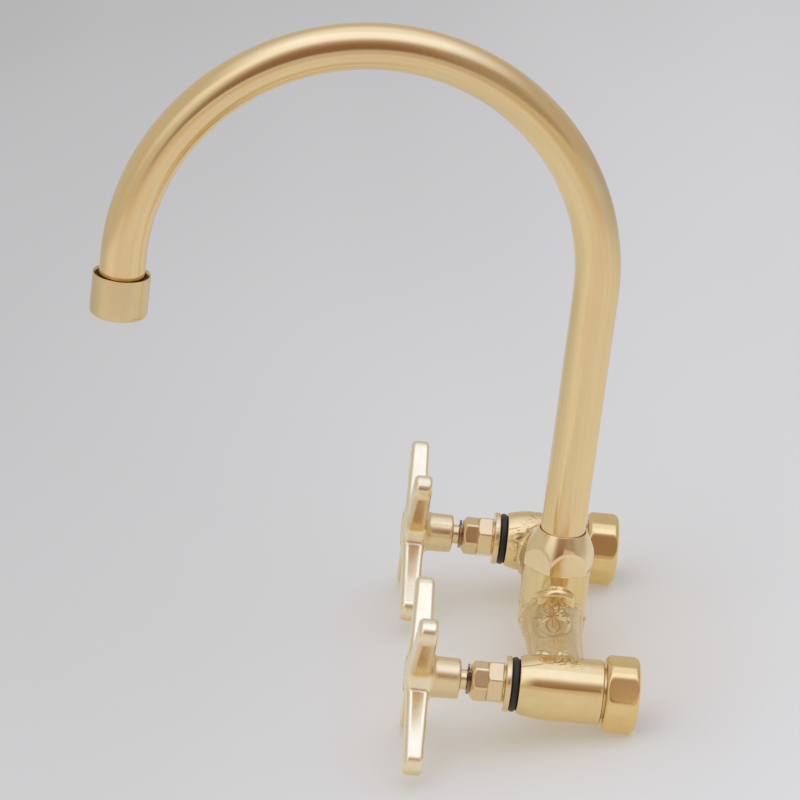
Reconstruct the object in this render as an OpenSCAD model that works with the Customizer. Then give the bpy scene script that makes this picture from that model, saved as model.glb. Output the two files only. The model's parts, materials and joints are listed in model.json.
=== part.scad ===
// Wall-mounted bridge faucet with two cross handles and a high swan-neck spout.
// The bridge runs along X, the wall is the plane y = 0 and the user stands on the -Y side.
// The origin lies on the wall plane, midway between the two inlet axes.

/* [Layout] */
// Distance between the two inlet axes
inlet_centres = 150; // [130:1:180]
// Distance from the wall plane to the bridge and spout axis
bridge_depth = 32; // [31:0.5:36]
// Distance from the swivel axis to the outlet axis
spout_reach = 196; // [150:1:230]
// Height of the bend's centre above the bridge axis
bend_height = 146; // [110:1:190]
// Angle of the spout from straight ahead towards the cold side, at rest
spout_turn = 4.2; // [-20:0.1:20]

/* [Union nuts] */
// Diameter of the union nut across its turned corners
nut_d = 32; // [31.5:0.1:34]
// Width of the union nut across its flats
nut_flats = 30; // [29:0.1:31]
// Length of the union nut along the inlet
nut_len = 14; // [13:0.1:14.5]
// Rounding of the union nut's turned corners
nut_round = 2.6; // [1.5:0.1:3]
// Minor diameter of the union nut's G3/4 thread
nut_thread_d = 24.117; // [24:0.001:24.3]
// Thickness of the lip that holds the tail flange
nut_lip = 2; // [1.5:0.1:2.5]
// Gap between the union nut and the valve body
nut_gap = 0.8; // [0.5:0.1:1]

/* [Inlet tails] */
// Outer diameter of the inlet tail
tail_d = 20.5; // [19.5:0.1:21]
// Bore of the inlet tail
tail_bore = 15; // [13:0.1:16]
// Diameter of the tail flange
tail_flange_d = 23.4; // [22.5:0.1:23.8]
// Thickness of the tail flange
tail_flange_t = 1.8; // [1.2:0.1:2]
// Depth of the tail's socket in the valve body
tail_socket = 6; // [4:0.1:6.4]
// Thickness of the inlet washer
washer_t = 2; // [1.5:0.1:2.5]

/* [Valve bodies] */
// Diameter of the valve body
body_d = 27; // [26:0.1:30]
// Diameter of the valve body at its front rim
body_rim_d = 23.4; // [22.6:0.1:25]
// Length over which the valve body narrows towards its rim
body_taper = 10; // [6:0.5:14]
// Diameter of the side port between valve body and bridge
port_d = 14; // [10:0.5:15]
// Diameter of the water chamber round the cartridge cage
chamber_d = 19.2; // [18.8:0.1:20.5]
// Minor diameter of the G1/2 thread that takes the cartridge
bonnet_thread_d = 18.631; // [18.5:0.001:18.7]
// Length of the G1/2 thread
bonnet_thread_len = 9.3; // [8:0.1:12]
// Diameter of the hole in the valve seat
seat_hole_d = 11; // [9:0.1:12]

/* [Bridge] */
// Outer diameter of the bridge tube at the valve body
bridge_d = 23; // [20:0.1:24]
// Outer diameter of the bridge tube where it meets the boss
bridge_root_d = 26; // [24:0.1:27]
// Length over which the bridge tube narrows from the boss outwards
bridge_flare = 34; // [20:1:40]
// Wall of the bridge tube
bridge_wall = 2.5; // [1.5:0.1:3]
// Diameter of the centre boss
boss_d = 28; // [26.6:0.1:29]
// Height of the boss above the bridge axis
boss_rise = 23; // [18:0.5:28]
// Depth of the boss below the bridge axis
boss_drop = 13.8; // [13.4:0.1:18]
// Radius of the boss's round foot
boss_round = 12; // [10:0.5:12.5]
// Bore of the boss, in which the spigot turns
boss_bore = 16.9; // [16:0.1:17.5]
// Thread diameter of the boss's neck
neck_d = 22; // [21.5:0.1:22.5]
// Height of the boss's neck
neck_len = 9; // [7:0.5:11]

/* [Spout nut] */
// Width of the spout nut across its flats
collar_flats = 27; // [26:0.1:29]
// Diameter of the spout nut across its corners
collar_d = 31.2; // [30:0.1:33.4]
// Height of the spout nut
collar_h = 16.4; // [16:0.1:20]
// Height of the straight edges below the spout nut's dome
collar_edge = 4.4; // [4:0.1:7]
// Diameter of the spout nut's upper rim
collar_rim_d = 20.6; // [20.4:0.1:23]
// Angle of the spout nut's front corner from the bridge axis
collar_turn = -20; // [-30:1:30]

/* [Spout] */
// Outer diameter of the spout tube
tube_d = 19.05; // [18:0.05:19.6]
// Wall of the spout tube
tube_wall = 1.2; // [0.8:0.1:1.6]
// Straight length of the tube below the bend at the outlet
outlet_drop = 19.6; // [14:0.1:60]
// Diameter of the spigot's flange
spigot_flange_d = 21.6; // [21:0.1:21.8]
// Thickness of the spigot's flange
spigot_flange_t = 2; // [1.5:0.1:2.5]
// Length of the spigot inside the boss
spigot_len = 19; // [16:0.5:22]
// Length of the spigot inside the tube
spigot_up = 12; // [8:0.5:20]
// Bore of the spigot
spigot_bore = 10.4; // [8:0.1:10.8]
// Thickness of the rings on the spigot
spigot_ring_t = 2; // [1.6:0.05:2.2]
// Thickness of the slip ring
slip_t = 1; // [0.6:0.1:1.5]

/* [Aerator] */
// Outer diameter of the aerator shell
shell_d = 24; // [23.8:0.1:26]
// Height of the aerator shell
shell_h = 18.2; // [17:0.1:22]
// Thread diameter of the outlet adapter
adapter_d = 22; // [21.6:0.05:22.4]
// Height of the outlet adapter
adapter_h = 9.5; // [7:0.1:11]
// Thickness of the aerator washer
aerator_washer_t = 1.6; // [1:0.1:2]
// Height of the aerator insert
insert_h = 3.4; // [3:0.1:5]
// Thickness of the shell's lower lip
shell_lip = 0.8; // [0.6:0.1:1.2]

/* [Cartridge] */
// Diameter of the cartridge flange
flange_d = 22.9; // [22:0.1:24]
// Thickness of the cartridge flange
flange_t = 2.4; // [1.2:0.1:3]
// Compressed thickness of the bonnet ring
bonnet_ring_t = 3.2; // [2.4:0.1:3.6]
// Outer diameter of the bonnet ring
bonnet_ring_d = 22.5; // [22:0.1:23]
// Width of the cartridge hexagon across its flats
hex_flats = 16; // [15:0.1:17]
// Length of the cartridge hexagon
hex_len = 6.2; // [5:0.1:8]
// Width of the gland nut across its flats
gland_flats = 14.6; // [14:0.1:16]
// Length of the gland nut
gland_len = 7; // [6:0.1:9]
// Thread diameter of the cartridge nose in the gland nut
nose_d = 12; // [11.5:0.1:12.5]
// Outer diameter of the windowed cage
cage_d = 17; // [16.6:0.1:17.6]
// Bore of the cage, which holds the discs
cage_bore = 14.6; // [14:0.1:15]
// Thickness of the fixed ceramic disc
fixed_t = 3.2; // [2.6:0.1:3.6]
// Thickness of the moving ceramic disc
moving_t = 2.8; // [2.4:0.1:3.2]
// Thickness of the seat seal
seal_t = 2.4; // [2:0.1:3]
// Angle of each sector port in the discs
port_angle = 76; // [60:1:84]

/* [Spindle] */
// Diameter of the spindle's shaft
shaft_d = 9; // [8.6:0.1:9.6]
// Diameter of the splined end
spline_d = 8; // [7.6:0.1:8.2]
// Number of splines
spline_count = 20; // [16:1:24]
// Length of the splined end inside the handle
spline_len = 11; // [9:0.5:13]
// Length of the plain neck between clip and handle
neck_gap = 3; // [2.5:0.1:6]
// Thickness of the rings on the spindle
spindle_ring_t = 1.4; // [1.2:0.05:1.5]
// Thickness of the spring clip
clip_t = 1; // [0.8:0.1:1.2]
// Outer diameter of the spring clip
clip_d = 11.6; // [11:0.1:12.5]

/* [Handles] */
// Distance from the handle's axis to the tip of an arm
arm_reach = 44.5; // [38:0.5:52]
// Width of an arm near its tip
arm_tip_w = 12; // [10:0.1:14]
// Width of an arm at its root
arm_root_w = 9; // [8:0.1:11]
// Thickness of an arm along the spindle, at its root
arm_t = 9.6; // [8:0.1:11]
// Thickness of an arm along the spindle, near its tip
arm_tip_t = 7.8; // [6:0.1:9]
// Angle of the first arm above the bridge axis, at rest
arm_angle = 51; // [0:1:89]
// Diameter of the hub behind the arms
hub_d = 17.2; // [17:0.1:20]
// Length of the hub behind the arms
hub_len = 12.1; // [11:0.1:18]
// Diameter of the button
button_d = 14.4; // [13:0.1:15]
// Rise of the button's dome
button_rise = 0.8; // [0.4:0.1:2]
// Thread diameter of the handle screw
screw_d = 5; // [4:0.5:5]
// Length of the handle screw under its head
screw_len = 10; // [8:0.5:11]

/* [Hidden] */
$fn = 96;
// Clearance of a turning fit, on the radius
run_fit = 0.05;
// Clearance of a screwed or pressed fit, on the radius
tight_fit = 0.015;
// Clearance of a brazed saddle joint
braze_gap = 0.02;
// Gap between flat faces that turn on each other
face_gap = 0.02;
// Gap at an open joint between a turning and a fixed piece
open_gap = 0.3;
// Small chamfer on turned edges
edge = 0.6;
// Overlap of a cutting tool past the face it cuts
cut = 1;

half_centres = inlet_centres / 2;
bend_r = spout_reach / 2;
bridge_y = -bridge_depth;

// Stations along a barrel axis, all measured from the wall plane
nut_front_y = -nut_len;
lip_y = nut_front_y + nut_lip;
tail_flange_y = lip_y + face_gap;
washer_y = tail_flange_y + tail_flange_t;
washer_back_y = washer_y + washer_t;
relief_y = washer_back_y;
body_back_y = nut_front_y - nut_gap;
socket_y = body_back_y - tail_socket;
chamber_margin = 1;
seat_y = bridge_y + port_d / 2 + chamber_margin;
chamber_front_y = bridge_y - port_d / 2 - chamber_margin;
rim_y = chamber_front_y - bonnet_thread_len;
flange_back_y = rim_y - bonnet_ring_t;
flange_front_y = flange_back_y - flange_t;
hex_gap = 0.8;
hex_back_y = flange_front_y - hex_gap;
hex_front_y = hex_back_y - hex_len;
gland_front_y = hex_front_y - gland_len;
gland_wall_t = 2.8;
nose_front_y = gland_front_y + gland_wall_t;
clip_back_y = gland_front_y - open_gap;
clip_front_y = clip_back_y - clip_t;
hub_back_y = clip_front_y - neck_gap;
spindle_front_y = hub_back_y - spline_len;
arm_back_y = hub_back_y - hub_len;
arm_front_y = arm_back_y - arm_t;
handle_web_t = 2.2;
screw_seat_y = spindle_front_y - handle_web_t;
head_t = 2.6;
head_front_y = screw_seat_y - head_t;
button_back_y = head_front_y - open_gap;

// Stations of the discs inside the cage
seal_y = seat_y - seal_t;
fixed_y = seal_y - fixed_t;
moving_back_y = fixed_y - face_gap;
moving_y = moving_back_y - moving_t;
dog_t = 2.6;
dog_y = moving_y - dog_t;
cage_roof_y = dog_y - face_gap;
dog_plate_t = 1;
dog_key_t = 1.1;
dog_key_w = 3;
disc_core_d = 4.4;
spindle_neck_d = spline_d + 0.4;

// Heights round the foot of the spout
boss_top_z = boss_rise;
neck_top_z = boss_top_z + neck_len;
spigot_flange_z = neck_top_z + open_gap;
tube_foot_z = spigot_flange_z + spigot_flange_t;
slip_top_z = tube_foot_z + slip_t;
collar_lip_z = slip_top_z + open_gap / 2;
collar_top_z = boss_top_z + collar_h;
spigot_foot_z = spigot_flange_z - spigot_len;
boss_sump = 1.6;
boss_floor_z = -port_d / 2 - boss_sump;

// Heights at the outlet
insert_plate_t = 1.4;
tube_mouth_z = bend_height - outlet_drop;
insert_top_z = tube_mouth_z - aerator_washer_t;
insert_foot_z = insert_top_z - insert_h;
shell_foot_z = insert_foot_z - shell_lip;
shell_top_z = shell_foot_z + shell_h;

// Puts a piece modelled on the Y axis on the cold side, x > 0
module on_right() {
    translate([half_centres, 0, 0]) children();
}

// Puts the mirror image of a piece modelled on the Y axis on the hot side, x < 0
module on_left() {
    mirror([1, 0, 0]) on_right() children();
}

// Puts a piece modelled on the Y axis on the hot side without mirroring it
module on_left_unturned() {
    translate([-half_centres, 0, 0]) children();
}

// Turns a shape built along Z so that it lies along Y
module along_y() {
    rotate([-90, 0, 0]) children();
}

// Turned piece on the Y axis, from a profile of [radius, y] points
module turned(profile) {
    along_y() rotate_extrude() polygon(profile);
}

// Round bar on the Y axis between two stations
module bar(d, y0, y1) {
    along_y() translate([0, 0, min(y0, y1)]) cylinder(d = d, h = abs(y1 - y0));
}

// Hexagonal bar on the Y axis, turned by an angle
module hex_bar(flats, y0, y1, turn = 0) {
    along_y() translate([0, 0, min(y0, y1)]) rotate([0, 0, turn])
        cylinder(d = flats / cos(30), h = abs(y1 - y0), $fn = 6);
}

// Flat ring on the Y axis
module ring_y(d, bore, y0, y1) {
    difference() {
        bar(d, y0, y1);
        bar(bore, min(y0, y1) - cut, max(y0, y1) + cut);
    }
}

// Moves a shape from the world Z axis to the spout's swivel axis
module at_spout() {
    translate([0, bridge_y, 0]) children();
}

// Moves a shape from the world Z axis to the outlet's axis
module at_outlet() {
    at_spout() rotate([0, 0, spout_turn]) translate([0, -spout_reach, 0]) children();
}

// Flat ring on the Z axis
module ring_z(d, bore, z0, z1) {
    difference() {
        translate([0, 0, z0]) cylinder(d = d, h = z1 - z0);
        translate([0, 0, z0 - cut]) cylinder(d = bore, h = z1 - z0 + 2 * cut);
    }
}

// Round-section ring on the Z axis, of a given outer diameter and thickness
module o_ring_z(d, t, z) {
    translate([0, 0, z]) rotate_extrude() translate([(d - t) / 2, 0]) circle(d = t, $fn = 32);
}

// Sectors on both sides of the Y axis, outside a round core, for the ports
module sector_pair(r, y0, y1) {
    along_y() translate([0, 0, min(y0, y1)]) linear_extrude(height = abs(y1 - y0))
        difference() {
            for (side = [-1, 1])
                polygon([[0, 0], [side * r, -r * tan(port_angle / 2)],
                    [side * r, r * tan(port_angle / 2)]]);
            circle(d = disc_core_d);
        }
}

// Toothed outline of the splines, grown by a clearance
module spline_outline(grow = 0) {
    tooth = 0.42;
    steps = spline_count * 2;
    polygon([for (i = [0 : steps - 1])
        let (r = spline_d / 2 + grow - (i % 2) * tooth, a = i * 360 / steps)
            [r * cos(a), r * sin(a)]]);
}

// Barrel with tail socket, valve seat, water chamber, thread and side port
module valve_body() {
    shoulder = 1.2;
    color("goldenrod") difference() {
        turned([
            [0, body_back_y], [body_d / 2 - edge, body_back_y], [body_d / 2, body_back_y - edge],
            [body_d / 2, rim_y + body_taper],
            [body_d / 2 - 0.15 * (body_d - body_rim_d) / 2, rim_y + 0.72 * body_taper],
            [body_d / 2 - 0.42 * (body_d - body_rim_d) / 2, rim_y + 0.44 * body_taper],
            [body_d / 2 - 0.76 * (body_d - body_rim_d) / 2, rim_y + 0.2 * body_taper],
            [body_rim_d / 2, rim_y + edge], [body_rim_d / 2 - edge / 2, rim_y], [0, rim_y]
        ]);
        bar(tail_d + 2 * tight_fit, socket_y, body_back_y + cut);
        bar(seat_hole_d, seat_y - cut, socket_y + cut);
        bar(chamber_d, chamber_front_y, seat_y);
        bar(bonnet_thread_d, rim_y - cut, chamber_front_y + cut);
        bar(bonnet_thread_d + shoulder, rim_y - cut, rim_y + edge);
        translate([0, bridge_y, 0]) rotate([0, -90, 0]) cylinder(d = port_d, h = body_d);
    }
}

// Half of the bridge, cut to sit on the boss and on the barrel
module bridge_tube() {
    steps = 6;
    flare = (bridge_root_d - bridge_d) / 2;
    color("goldenrod") difference() {
        translate([0, bridge_y, 0]) rotate([0, 90, 0]) difference() {
            rotate_extrude() polygon(concat(
                [[0, 0], [bridge_root_d / 2, 0]],
                [for (i = [0 : steps]) let (t = i / steps)
                    [bridge_d / 2 + flare * pow(1 - t, 2), boss_d / 2 + bridge_flare * t]],
                [[bridge_d / 2, half_centres], [0, half_centres]]
            ));
            translate([0, 0, -cut]) cylinder(d = bridge_d - 2 * bridge_wall, h = half_centres + 2 * cut);
        }
        at_spout() boss_shape(braze_gap);
        on_right() bar(body_d + 2 * braze_gap, bridge_y - bridge_d, bridge_y + bridge_d);
    }
}

// Flanged sleeve in the back of the barrel
module inlet_tail() {
    color("darkgoldenrod") difference() {
        union() {
            bar(tail_d, socket_y, tail_flange_y);
            bar(tail_flange_d, tail_flange_y, washer_y);
        }
        bar(tail_bore, socket_y - cut, washer_y + cut);
    }
}

// Union nut: a hexagon with turned corners, a thread and a lip behind the flange
module union_nut() {
    steps = 4;
    relief_d = nut_thread_d + 0.6;
    color("gold") difference() {
        intersection() {
            hex_bar(nut_flats, nut_front_y, 0);
            turned(concat(
                [[0, nut_front_y]],
                [for (i = [0 : steps]) let (a = -90 + 90 * i / steps)
                    [nut_d / 2 - nut_round * (1 - cos(a)), nut_front_y + nut_round * (1 + sin(a))]],
                [for (i = [0 : steps]) let (a = 90 * i / steps)
                    [nut_d / 2 - nut_round * (1 - cos(a)), -nut_round * (1 - sin(a))]],
                [[0, 0]]
            ));
        }
        bar(tail_d + 2 * run_fit, nut_front_y - cut, lip_y + cut);
        bar(relief_d, lip_y, relief_y);
        bar(nut_thread_d, relief_y - cut, cut);
        turned([[0, -edge], [nut_thread_d / 2, -edge], [nut_thread_d / 2 + edge, 0],
            [nut_thread_d / 2 + edge, cut], [0, cut]]);
    }
}

// Rubber washer behind the tail flange
module inlet_washer() {
    color("dimgray") ring_y(tail_flange_d, tail_bore, washer_y, washer_back_y);
}

// Black ring squeezed between the barrel's rim and the cartridge flange
module bonnet_o_ring() {
    bulge = 0.3;
    bore_d = bonnet_ring_d - 2 * bonnet_ring_t;
    color("black") turned([
        [bore_d / 2 + bulge, flange_back_y], [bonnet_ring_d / 2 - 0.9, flange_back_y],
        [bonnet_ring_d / 2 - 0.25, flange_back_y + 0.18 * bonnet_ring_t],
        [bonnet_ring_d / 2, flange_back_y + 0.38 * bonnet_ring_t],
        [bonnet_ring_d / 2, flange_back_y + 0.62 * bonnet_ring_t],
        [bonnet_ring_d / 2 - 0.25, flange_back_y + 0.82 * bonnet_ring_t],
        [bonnet_ring_d / 2 - 0.9, rim_y], [bore_d / 2 + bulge, rim_y],
        [bore_d / 2, flange_back_y + 0.7 * bonnet_ring_t],
        [bore_d / 2, flange_back_y + 0.3 * bonnet_ring_t]
    ]);
}

// Headwork body: nose, hexagon, flange, threaded stem and windowed cage
module cartridge_body() {
    stem_neck_d = bonnet_ring_d - 2 * bonnet_ring_t - 0.2;
    hex_neck_d = hex_flats - 1;
    hex_turn = 30;
    window_h = moving_t + dog_t;
    color("darkkhaki") difference() {
        union() {
            bar(nose_d, nose_front_y + open_gap, hex_front_y + cut);
            intersection() {
                hex_bar(hex_flats, hex_front_y, hex_back_y, hex_turn);
                turned([[0, hex_front_y], [hex_flats / 2 + 0.2, hex_front_y],
                    [hex_flats / 2 + 1, hex_front_y + 0.8], [hex_flats / 2 + 1, hex_back_y],
                    [0, hex_back_y]]);
            }
            bar(hex_neck_d, hex_back_y - cut, flange_front_y + cut);
            turned([[0, flange_front_y], [flange_d / 2 - 0.3, flange_front_y],
                [flange_d / 2, flange_front_y + 0.3], [flange_d / 2, flange_back_y - 0.3],
                [flange_d / 2 - 0.3, flange_back_y], [0, flange_back_y]]);
            bar(stem_neck_d, flange_back_y - cut, rim_y + cut);
            bar(bonnet_thread_d - 2 * tight_fit, rim_y, chamber_front_y);
            bar(cage_d, chamber_front_y - cut, seal_y + seal_t / 2);
        }
        bar(shaft_d + 2 * run_fit, nose_front_y - cut, cage_roof_y + cut);
        bar(cage_bore, cage_roof_y, seat_y);
        for (turn = [0, 180])
            rotate([0, turn, 0]) translate([0, moving_y + window_h / 2 - dog_t, 0])
                cylinder(d = window_h, h = cage_d);
    }
}

// Second hexagon, screwed on the nose of the headwork
module gland_nut() {
    chamfer = 1;
    gland_turn = 15;
    color("goldenrod") difference() {
        intersection() {
            hex_bar(gland_flats, gland_front_y, hex_front_y, gland_turn);
            turned([[0, gland_front_y], [gland_flats / 2 - chamfer, gland_front_y],
                [gland_flats / 2 + 1.1, gland_front_y + 2 * chamfer],
                [gland_flats / 2 + 1.1, hex_front_y], [0, hex_front_y]]);
        }
        bar(shaft_d + 2 * run_fit, gland_front_y - cut, hex_front_y + cut);
        bar(nose_d + 2 * tight_fit, nose_front_y, hex_front_y + cut);
    }
}

// Splined stem with ring grooves, clip groove and the dog that drives the disc
module spindle() {
    color("darkkhaki") difference() {
        union() {
            bar(spindle_neck_d, hub_back_y, clip_front_y);
            bar(shaft_d, clip_front_y, dog_y);
            along_y() translate([0, 0, spindle_front_y])
                linear_extrude(height = hub_back_y - spindle_front_y) spline_outline();
            difference() {
                bar(cage_bore - 2 * run_fit, dog_y, moving_y);
                sector_pair(cage_bore, dog_y + dog_plate_t, moving_y + cut);
            }
            dog_key(0);
        }
        ring_y(shaft_d + cut, clip_bore(), clip_front_y, clip_back_y);
        for (y = spindle_ring_ys())
            ring_y(shaft_d + cut, spindle_groove_d(), y - groove_w() / 2, y + groove_w() / 2);
        bar(screw_d - 0.8, spindle_front_y - cut, screw_seat_y + screw_len + 0.6);
    }
}

// Key on the dog, which lies in the moving disc's slot
module dog_key(clearance) {
    intersection() {
        translate([-dog_key_w / 2 - clearance, moving_y - cut, -cage_bore / 2])
            cube([dog_key_w + 2 * clearance, dog_key_t + cut, cage_bore]);
        bar(cage_bore - 2 * run_fit - 1.2 + 2 * clearance, moving_y - cut, moving_back_y);
    }
}

// Two rings in the spindle's grooves
module spindle_o_rings() {
    color("black") for (y = spindle_ring_ys())
        along_y() o_ring_z(spindle_groove_d() + 2 * spindle_ring_t, spindle_ring_t, y);
}

function clip_bore() = shaft_d - 2;
function groove_w() = spindle_ring_t + 0.4;
function spindle_groove_d() = shaft_d + 2 * run_fit - 2 * face_gap - 2 * spindle_ring_t;
function spindle_ring_ys() = [hex_front_y + 1.5, hex_front_y + 1.5 + 2 * groove_w()];

// Spring clip with two eyes, open at the top
module circlip() {
    opening = 50;
    eye_d = 3;
    mid_y = (clip_back_y + clip_front_y) / 2;
    thin = 0.1;
    color("slategray") difference() {
        union() {
            along_y() translate([0, 0, clip_front_y + thin]) rotate([0, 0, -90 + opening / 2])
                rotate_extrude(angle = 360 - opening)
                    translate([clip_bore() / 2, 0])
                        square([(clip_d - clip_bore()) / 2, clip_t - 2 * thin]);
            for (side = [-1, 1]) clip_eye(side, opening, eye_d, mid_y, clip_t - 2 * thin);
        }
        for (side = [-1, 1]) clip_eye(side, opening, 1.2, mid_y, clip_t + cut);
    }
}

// Eye of the spring clip, or the hole in it
module clip_eye(side, opening, d, y, t) {
    r = (clip_d + clip_bore()) / 4 + 0.5;
    a = 90 + side * (opening / 2 + 8);
    translate([r * cos(a), y, r * sin(a)]) along_y() cylinder(d = d, h = t, center = true, $fn = 32);
}

// Ceramic disc that turns: its two sectors open the ports, and a slot takes the dog's key
module moving_disc() {
    color("whitesmoke") difference() {
        bar(cage_bore - 2 * run_fit, moving_y, moving_back_y);
        sector_pair(cage_bore, moving_y - cut, moving_back_y + cut);
        dog_key(run_fit);
    }
}

// Ceramic disc that stays: its two sector ports lie across the moving disc's sectors at rest
module fixed_disc() {
    rim = 1.6;
    color("white") difference() {
        bar(cage_bore - 2 * tight_fit, fixed_y, seal_y);
        rotate([0, 90, 0]) intersection() {
            sector_pair(cage_bore, fixed_y - cut, seal_y + cut);
            bar(cage_bore - 2 * rim, fixed_y - cut, seal_y + cut);
        }
    }
}

// Rubber seal between the fixed disc and the valve seat
module seat_seal() {
    color("black") ring_y(cage_bore - 2 * tight_fit, seat_hole_d, seal_y, seat_y);
}

// Rounded disc on the Y axis, one end of an arm
module arm_end(w, t) {
    round_r = 0.42 * min(w, t);
    flat_r = w / 2 - round_r;
    steps = 4;
    along_y() rotate_extrude($fn = 28) polygon(concat(
        [[0, -t / 2]],
        [for (i = [0 : steps]) let (a = -90 + 90 * i / steps)
            [flat_r + round_r * cos(a), -t / 2 + round_r + round_r * sin(a)]],
        [for (i = [0 : steps]) let (a = 90 * i / steps)
            [flat_r + round_r * cos(a), t / 2 - round_r + round_r * sin(a)]],
        [[0, t / 2]]
    ));
}

// Four-arm handle with hub, splined socket, screw hole and button recess
module cross_handle() {
    arm_y = (arm_back_y + arm_front_y) / 2;
    root_r = hub_d / 2 - arm_root_w / 3;
    hub_edge = 1.2;
    color("khaki") difference() {
        union() {
            turned([
                [0, hub_back_y], [hub_d / 2 - hub_edge, hub_back_y],
                [hub_d / 2 - 0.3 * hub_edge, hub_back_y - 0.3 * hub_edge],
                [hub_d / 2, hub_back_y - hub_edge], [hub_d / 2, arm_back_y],
                [hub_d / 2 + 1, arm_back_y - 1], [hub_d / 2 + 1, arm_front_y + hub_edge],
                [hub_d / 2 + 1 - hub_edge, arm_front_y], [0, arm_front_y]
            ]);
            for (turn = [0 : 90 : 270])
                rotate([0, -arm_angle - turn, 0]) translate([0, arm_y, 0]) hull() {
                    translate([root_r, 0, 0]) arm_end(arm_root_w, arm_t);
                    translate([arm_reach - arm_tip_w / 2, 0, 0]) arm_end(arm_tip_w, arm_tip_t);
                }
        }
        along_y() translate([0, 0, spindle_front_y - open_gap])
            linear_extrude(height = hub_back_y - spindle_front_y + open_gap + cut)
                spline_outline(run_fit);
        bar(screw_d + 0.4, screw_seat_y - cut, spindle_front_y + cut);
        bar(button_d, arm_front_y - cut, screw_seat_y);
    }
}

// Round-head screw with a hexagon socket
module handle_screw() {
    head_d = screw_d * 1.8;
    color("silver") difference() {
        union() {
            turned([[0, head_front_y], [head_d / 2 - 1.6, head_front_y],
                [head_d / 2 - 0.5, head_front_y + 0.9], [head_d / 2, screw_seat_y - 0.5],
                [head_d / 2, screw_seat_y], [0, screw_seat_y]]);
            bar(screw_d - 0.8 - 2 * tight_fit, screw_seat_y, screw_seat_y + screw_len);
        }
        hex_bar(screw_d * 0.6, head_front_y - cut, head_front_y + 1.6);
    }
}

// Plain domed button pressed into the front of the handle
module handle_button() {
    r = button_d / 2 - tight_fit;
    skirt = 1.4;
    dome_r = (r * r + button_rise * button_rise) / (2 * button_rise);
    steps = 8;
    dome_a = asin(r / dome_r);
    color("gold") difference() {
        turned(concat(
            [[0, button_back_y], [r, button_back_y]],
            [for (i = [0 : steps]) let (a = dome_a * (1 - i / steps))
                [dome_r * sin(a), arm_front_y + dome_r - button_rise - dome_r * cos(a)]]
        ));
        bar(button_d - 2 * skirt, arm_front_y + skirt, button_back_y + cut);
    }
}

// Outer shape of the boss, round at its foot, grown by a clearance
module boss_shape(grow = 0) {
    steps = 8;
    r = boss_d / 2 + grow;
    ball_r = boss_round + grow;
    rotate_extrude() polygon(concat(
        [[0, -boss_drop - grow]],
        [for (i = [0 : steps]) let (a = -90 + 90 * i / steps)
            [r - ball_r + ball_r * cos(a), -boss_drop - grow + ball_r + ball_r * sin(a)]],
        [[r, boss_top_z], [0, boss_top_z]]
    ));
}

// Upright boss in the middle of the bridge, with a threaded neck on top
module centre_boss() {
    color("goldenrod") at_spout() difference() {
        union() {
            boss_shape();
            rotate_extrude() polygon([[0, boss_top_z - cut], [neck_d / 2, boss_top_z - cut],
                [neck_d / 2, neck_top_z - edge], [neck_d / 2 - edge, neck_top_z], [0, neck_top_z]]);
        }
        translate([0, 0, boss_floor_z])
            cylinder(d = boss_bore, h = neck_top_z - boss_floor_z + cut);
        rotate([0, 90, 0]) cylinder(d = port_d, h = boss_d + cut, center = true);
    }
}

// Domed hexagon nut that holds the foot of the spout
module spout_nut() {
    edge_z = boss_top_z + collar_edge;
    rise = collar_top_z - edge_z;
    drop_in = (collar_d - collar_rim_d) / 2;
    steps = 8;
    color("gold") at_spout() difference() {
        intersection() {
            translate([0, 0, boss_top_z]) rotate([0, 0, collar_turn])
                cylinder(d = collar_flats / cos(30), h = collar_h, $fn = 6);
            rotate_extrude() polygon(concat(
                [[0, boss_top_z], [collar_d / 2 - 2 * edge, boss_top_z],
                 [collar_d / 2 - 0.6 * edge, boss_top_z + edge], [collar_d / 2, boss_top_z + 3 * edge]],
                [for (i = [0 : steps]) let (t = i / steps)
                    [collar_d / 2 - drop_in * pow(t, 1.25), edge_z + rise * t]],
                [[0, collar_top_z]]
            ));
        }
        translate([0, 0, boss_top_z - cut])
            cylinder(d = neck_d + 2 * tight_fit, h = collar_lip_z - boss_top_z + cut);
        translate([0, 0, boss_top_z]) cylinder(d = tube_d + 0.4, h = collar_h + cut);
    }
}

// Bent spout tube: upright, half-circle bend and outlet leg
module spout_tube() {
    bore = tube_d - 2 * tube_wall;
    color("gold") at_spout() rotate([0, 0, spout_turn]) union() {
        ring_z(tube_d, bore, tube_foot_z, bend_height);
        translate([0, -bend_r, bend_height]) rotate([90, 0, 90])
            rotate_extrude(angle = 180) translate([bend_r, 0]) difference() {
                circle(d = tube_d);
                circle(d = bore);
            }
        translate([0, -spout_reach, 0]) ring_z(tube_d, bore, tube_mouth_z, bend_height);
    }
}

function spigot_turn_d() = boss_bore - 2 * run_fit;
function spigot_groove_d() = boss_bore - 2 * face_gap - 2 * spigot_ring_t;
function spigot_groove_w() = spigot_ring_t + 0.4;
function spigot_ring_zs() = [spigot_foot_z + 3, spigot_foot_z + 3 + 2.5 * spigot_groove_w()];

// Flanged sleeve in the foot of the tube, which turns in the boss
module spout_spigot() {
    color("darkgoldenrod") at_spout() difference() {
        union() {
            translate([0, 0, spigot_foot_z]) cylinder(d = spigot_turn_d(), h = spigot_len);
            translate([0, 0, spigot_flange_z]) cylinder(d = spigot_flange_d, h = spigot_flange_t);
            translate([0, 0, tube_foot_z])
                cylinder(d = tube_d - 2 * tube_wall - 2 * tight_fit, h = spigot_up);
        }
        translate([0, 0, spigot_foot_z - cut])
            cylinder(d = spigot_bore, h = spigot_len + spigot_flange_t + spigot_up + 2 * cut);
        for (z = spigot_ring_zs())
            ring_z(spigot_turn_d() + cut, spigot_groove_d(), z - spigot_groove_w() / 2,
                z + spigot_groove_w() / 2);
    }
}

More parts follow.
